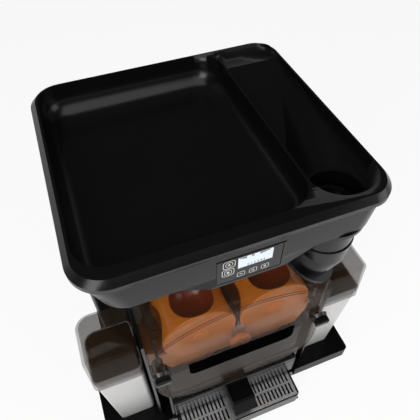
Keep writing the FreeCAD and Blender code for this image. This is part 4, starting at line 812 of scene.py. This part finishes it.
def lead(piece, name, steps):
    """Lead a bead on: a run has one vector, a bend a centre and an angle in degrees."""
    with editing(piece, "EDGE"):
        bpy.ops.mesh.select_all(action="SELECT")
        for step in steps:
            if len(step) == 1:
                bpy.ops.mesh.extrude_region_move(TRANSFORM_OT_translate={"value": step[0]})
            else:
                bpy.ops.mesh.spin(steps=BEND_STEPS, angle=math.radians(step[1]),
                                  center=step[0], axis=(0, 1, 0))
        bpy.ops.mesh.select_all(action="SELECT")
        bpy.ops.mesh.fill_holes(sides=8)
    return settle(piece, name, 60)


ARCH_CENTRE = 0.254
ARCH_RADIUS = 0.2570
SIDE, LOW, BEND = 0.157, 0.214, 0.072
LINE = 0.0005
beads = []
for radius, y in ((ARCH_RADIUS, COVER_FACE), (0.2590, -0.2095)):
    half = math.asin(SIDE / radius)
    foot = (-radius * math.sin(half), y, ARCH_CENTRE + radius * math.cos(half))
    bead = bead_start(foot, math.pi / 2 - half, LINE)
    beads.append(lead(bead, "arch_bead", [((0, y, ARCH_CENTRE), -2 * math.degrees(half))]))
HIGH = ARCH_CENTRE + ARCH_RADIUS * math.cos(math.asin(SIDE / ARCH_RADIUS))
bead = bead_start((-SIDE, COVER_FACE, HIGH), 0, LINE)
drop = HIGH - LOW - BEND
beads.append(lead(bead, "frame_bead", [
    ((0, 0, -drop),), ((BEND - SIDE, COVER_FACE, LOW + BEND), 90),
    ((2 * (SIDE - BEND), 0, 0),), ((SIDE - BEND, COVER_FACE, LOW + BEND), 90),
    ((0, 0, drop),)]))
edges = joined("cover_edges", beads)
dress(edges, "smoke_edge", "cover")
print("cover edge lines:", len(edges.data.polygons), "faces, box", edges.dimensions)

# %% [markdown]
# ## Screws in the sides of the rear housing
# The back cover is held by small screws that sit in the housing's sides, near its back edge.
# One is modelled: a cylinder whose rim is bevelled round, with a socket that is inset and
# pushed in. The others are copies, and the left ones are the same screw turned half way round.

# %% Screws
SCREW_RADIUS = 0.0042
SCREW_RISE = 0.0014
HOUSING_SIDE = 0.2320
SCREW_LINE = 0.2460
LOWEST_SCREW = 0.0900
begin()
bpy.ops.mesh.primitive_cylinder_add(vertices=24, radius=SCREW_RADIUS, depth=SCREW_RISE,
                                    location=(HOUSING_SIDE + SCREW_RISE / 2, SCREW_LINE,
                                              LOWEST_SCREW),
                                    rotation=(0, math.pi / 2, 0))
screw = bpy.context.object
bpy.ops.object.transform_apply(location=True, rotation=True, scale=True)
with editing(screw):
    pick_faces(screw, lambda centre, normal: normal.x > 0.9)
    bpy.ops.mesh.bevel(offset=0.0006, segments=3)
with editing(screw):
    pick_faces(screw, lambda centre, normal: normal.x > 0.99)
    bpy.ops.mesh.inset(thickness=0.0012)
    bpy.ops.mesh.inset(thickness=0.0002)
    bpy.ops.transform.translate(value=(-0.0008, 0, 0))
settle(screw, "housing_screw")
screws = [screw]
for rise in (0.150, 0.300, 0.420):
    screws.append(copied(screw, "housing_screw", (0, 0, rise)))
for right in list(screws):
    left = copied(right, "housing_screw", (0, 0, 0))
    left.data.transform(Matrix.Rotation(math.pi, 4, "Z"))
    left.data.transform(Matrix.Translation((0, 2 * SCREW_LINE, 0)))
    screws.append(left)
count = len(screws)
fasteners = joined("housing_screws", screws)
dress(fasteners, "shaft_steel", "machine")
print("screws:", count)

# %% [markdown]
# ## Signs on the mains switch
# The rocker carries the two plain signs for on and off, a bar and a ring. They lie on its
# sloping faces, so a ray is sent at the rocker from behind, and the sign is laid where the ray
# meets it, tilted as the surface is there.

# %% Rocker signs
ROCKER_MIDDLE = -0.165
BEHIND = 0.4
rocker = frame["nodes"]["power_switch"]
signs = []
for height, width, tall, line in ((0.1565, 0.0012, 0.0050, 0),
                                  (0.1440, 0.0050, 0.0050, 0.0010)):
    found, point, normal, face = rocker.ray_cast((ROCKER_MIDDLE, BEHIND, height), (0, -1, 0))
    begin()
    bpy.ops.mesh.primitive_plane_add(size=1, location=(0, 0, 0))
    sign = bpy.context.object
    sign.scale = (width, tall, 1)
    bpy.ops.object.transform_apply(location=True, rotation=True, scale=True)
    with editing(sign, "VERT"):
        bpy.ops.mesh.select_all(action="SELECT")
        bpy.ops.mesh.bevel(offset=min(width, tall) * 0.49, segments=5, affect="VERTICES")
        bpy.ops.mesh.select_mode(type="FACE")
        bpy.ops.mesh.select_all(action="SELECT")
        if line:
            bpy.ops.mesh.inset(thickness=line)
            bpy.ops.mesh.delete(type="FACE")
            bpy.ops.mesh.select_all(action="SELECT")
        bpy.ops.mesh.extrude_region_move(TRANSFORM_OT_translate={"value": (0, 0, INK)})
    tilt = normal.to_track_quat("Z", "Y").to_matrix().to_4x4()
    sign.matrix_world = Matrix.Translation(point) @ tilt
    signs.append(settle(sign, "rocker_sign"))
rocker_signs = joined("rocker_signs", signs)
dress(rocker_signs, "print_white", "rocker")
print("rocker signs at", rocker_signs.dimensions)

# %% [markdown]
# ## Floor and light
# The studio is a large pale floor, a sky and three soft lamps. The floor must look white in the
# picture without flooding the machine with light, so for camera rays, and for the rays that
# mirrors and clear plastic send on, part of it is a steady white; the rest is ordinary diffuse
# white, which keeps the shadow. The sky is bright near the horizon and dim above, as in a white
# room with a dark ceiling: bevels and steel mirror the bright band, and level black faces stay
# black.

# %% Floor
FLOOR_SIDE = 14
begin()
bpy.ops.mesh.primitive_plane_add(size=FLOOR_SIDE, location=(0, 0, 0))
floor = bpy.context.object
floor.name = "studio_floor"
ground = Finish("floor_white", (0.86, 0.86, 0.86), 0.9)
ground.feed("Base Color", ground.blend(ground.noise(0.6, 1), (0.84, 0.84, 0.84),
                                       (0.88, 0.88, 0.88)))
glow = ground.node("ShaderNodeEmission", {}, {"Color": (1, 1, 1, 1), "Strength": 1.0})
rays = ground.node("ShaderNodeLightPath", {}, {})
seen = Wire(ground, rays.outputs["Is Camera Ray"])
for ray in ("Is Glossy Ray", "Is Transmission Ray"):
    seen = seen + Wire(ground, rays.outputs[ray])
STEADY_SHARE = 0.90
mixer = ground.node("ShaderNodeMixShader", {}, {0: seen * STEADY_SHARE})
ground.tree.links.new(ground.shader.outputs[0], mixer.inputs[1])
ground.tree.links.new(glow.outputs[0], mixer.inputs[2])
ground.tree.links.new(mixer.outputs[0], ground.tree.nodes["Material Output"].inputs["Surface"])
floor.data.materials.append(ground.material)
print("floor:", FLOOR_SIDE, "m")

# %% Sky
sky = bpy.data.worlds.new("studio_sky")
bpy.context.scene.world = sky
sky.use_nodes = True
air = sky.node_tree
LOW_SKY, HIGH_SKY = 0.80, 0.07
LOW_EDGE, HIGH_EDGE = 0.06, 0.34
direction = air.nodes.new("ShaderNodeTexCoord")
split = air.nodes.new("ShaderNodeSeparateXYZ")
fade = air.nodes.new("ShaderNodeMapRange")
fade.interpolation_type = "SMOOTHSTEP"
for socket, value in {"From Min": LOW_EDGE, "From Max": HIGH_EDGE, "To Min": LOW_SKY,
                      "To Max": HIGH_SKY}.items():
    fade.inputs[socket].default_value = value
rays = air.nodes.new("ShaderNodeLightPath")
level = air.nodes.new("ShaderNodeMapRange")
level.inputs["To Max"].default_value = 1.0
air.links.new(direction.outputs["Generated"], split.inputs[0])
air.links.new(split.outputs["Z"], fade.inputs["Value"])
air.links.new(rays.outputs["Is Camera Ray"], level.inputs["Value"])
air.links.new(fade.outputs[0], level.inputs["To Min"])
air.links.new(level.outputs[0], air.nodes["Background"].inputs["Strength"])
air.nodes["Background"].inputs["Color"].default_value = (1, 1, 1, 1)
print("sky from", LOW_SKY, "down to", HIGH_SKY)

# %% Lamps
AIM = Vector((0, -0.02, 0.42))


def soft_lamp(name, place, side, power):
    """A square lamp that faces the machine."""
    light = bpy.data.lights.new(name, "AREA")
    light.size = side
    light.energy = power
    lamp = bpy.data.objects.new(name, light)
    bpy.context.scene.collection.objects.link(lamp)
    lamp.location = place
    lamp.rotation_euler = (AIM - Vector(place)).to_track_quat("-Z", "Y").to_euler()
    return lamp


soft_lamp("key_lamp", (-1.5, -1.5, 1.9), 1.2, 36)
soft_lamp("fill_lamp", (1.9, -1.1, 1.4), 1.2, 14)
soft_lamp("top_lamp", (-0.2, -0.8, 2.6), 2.2, 34)
bpy.context.scene.view_settings.view_transform = "Standard"
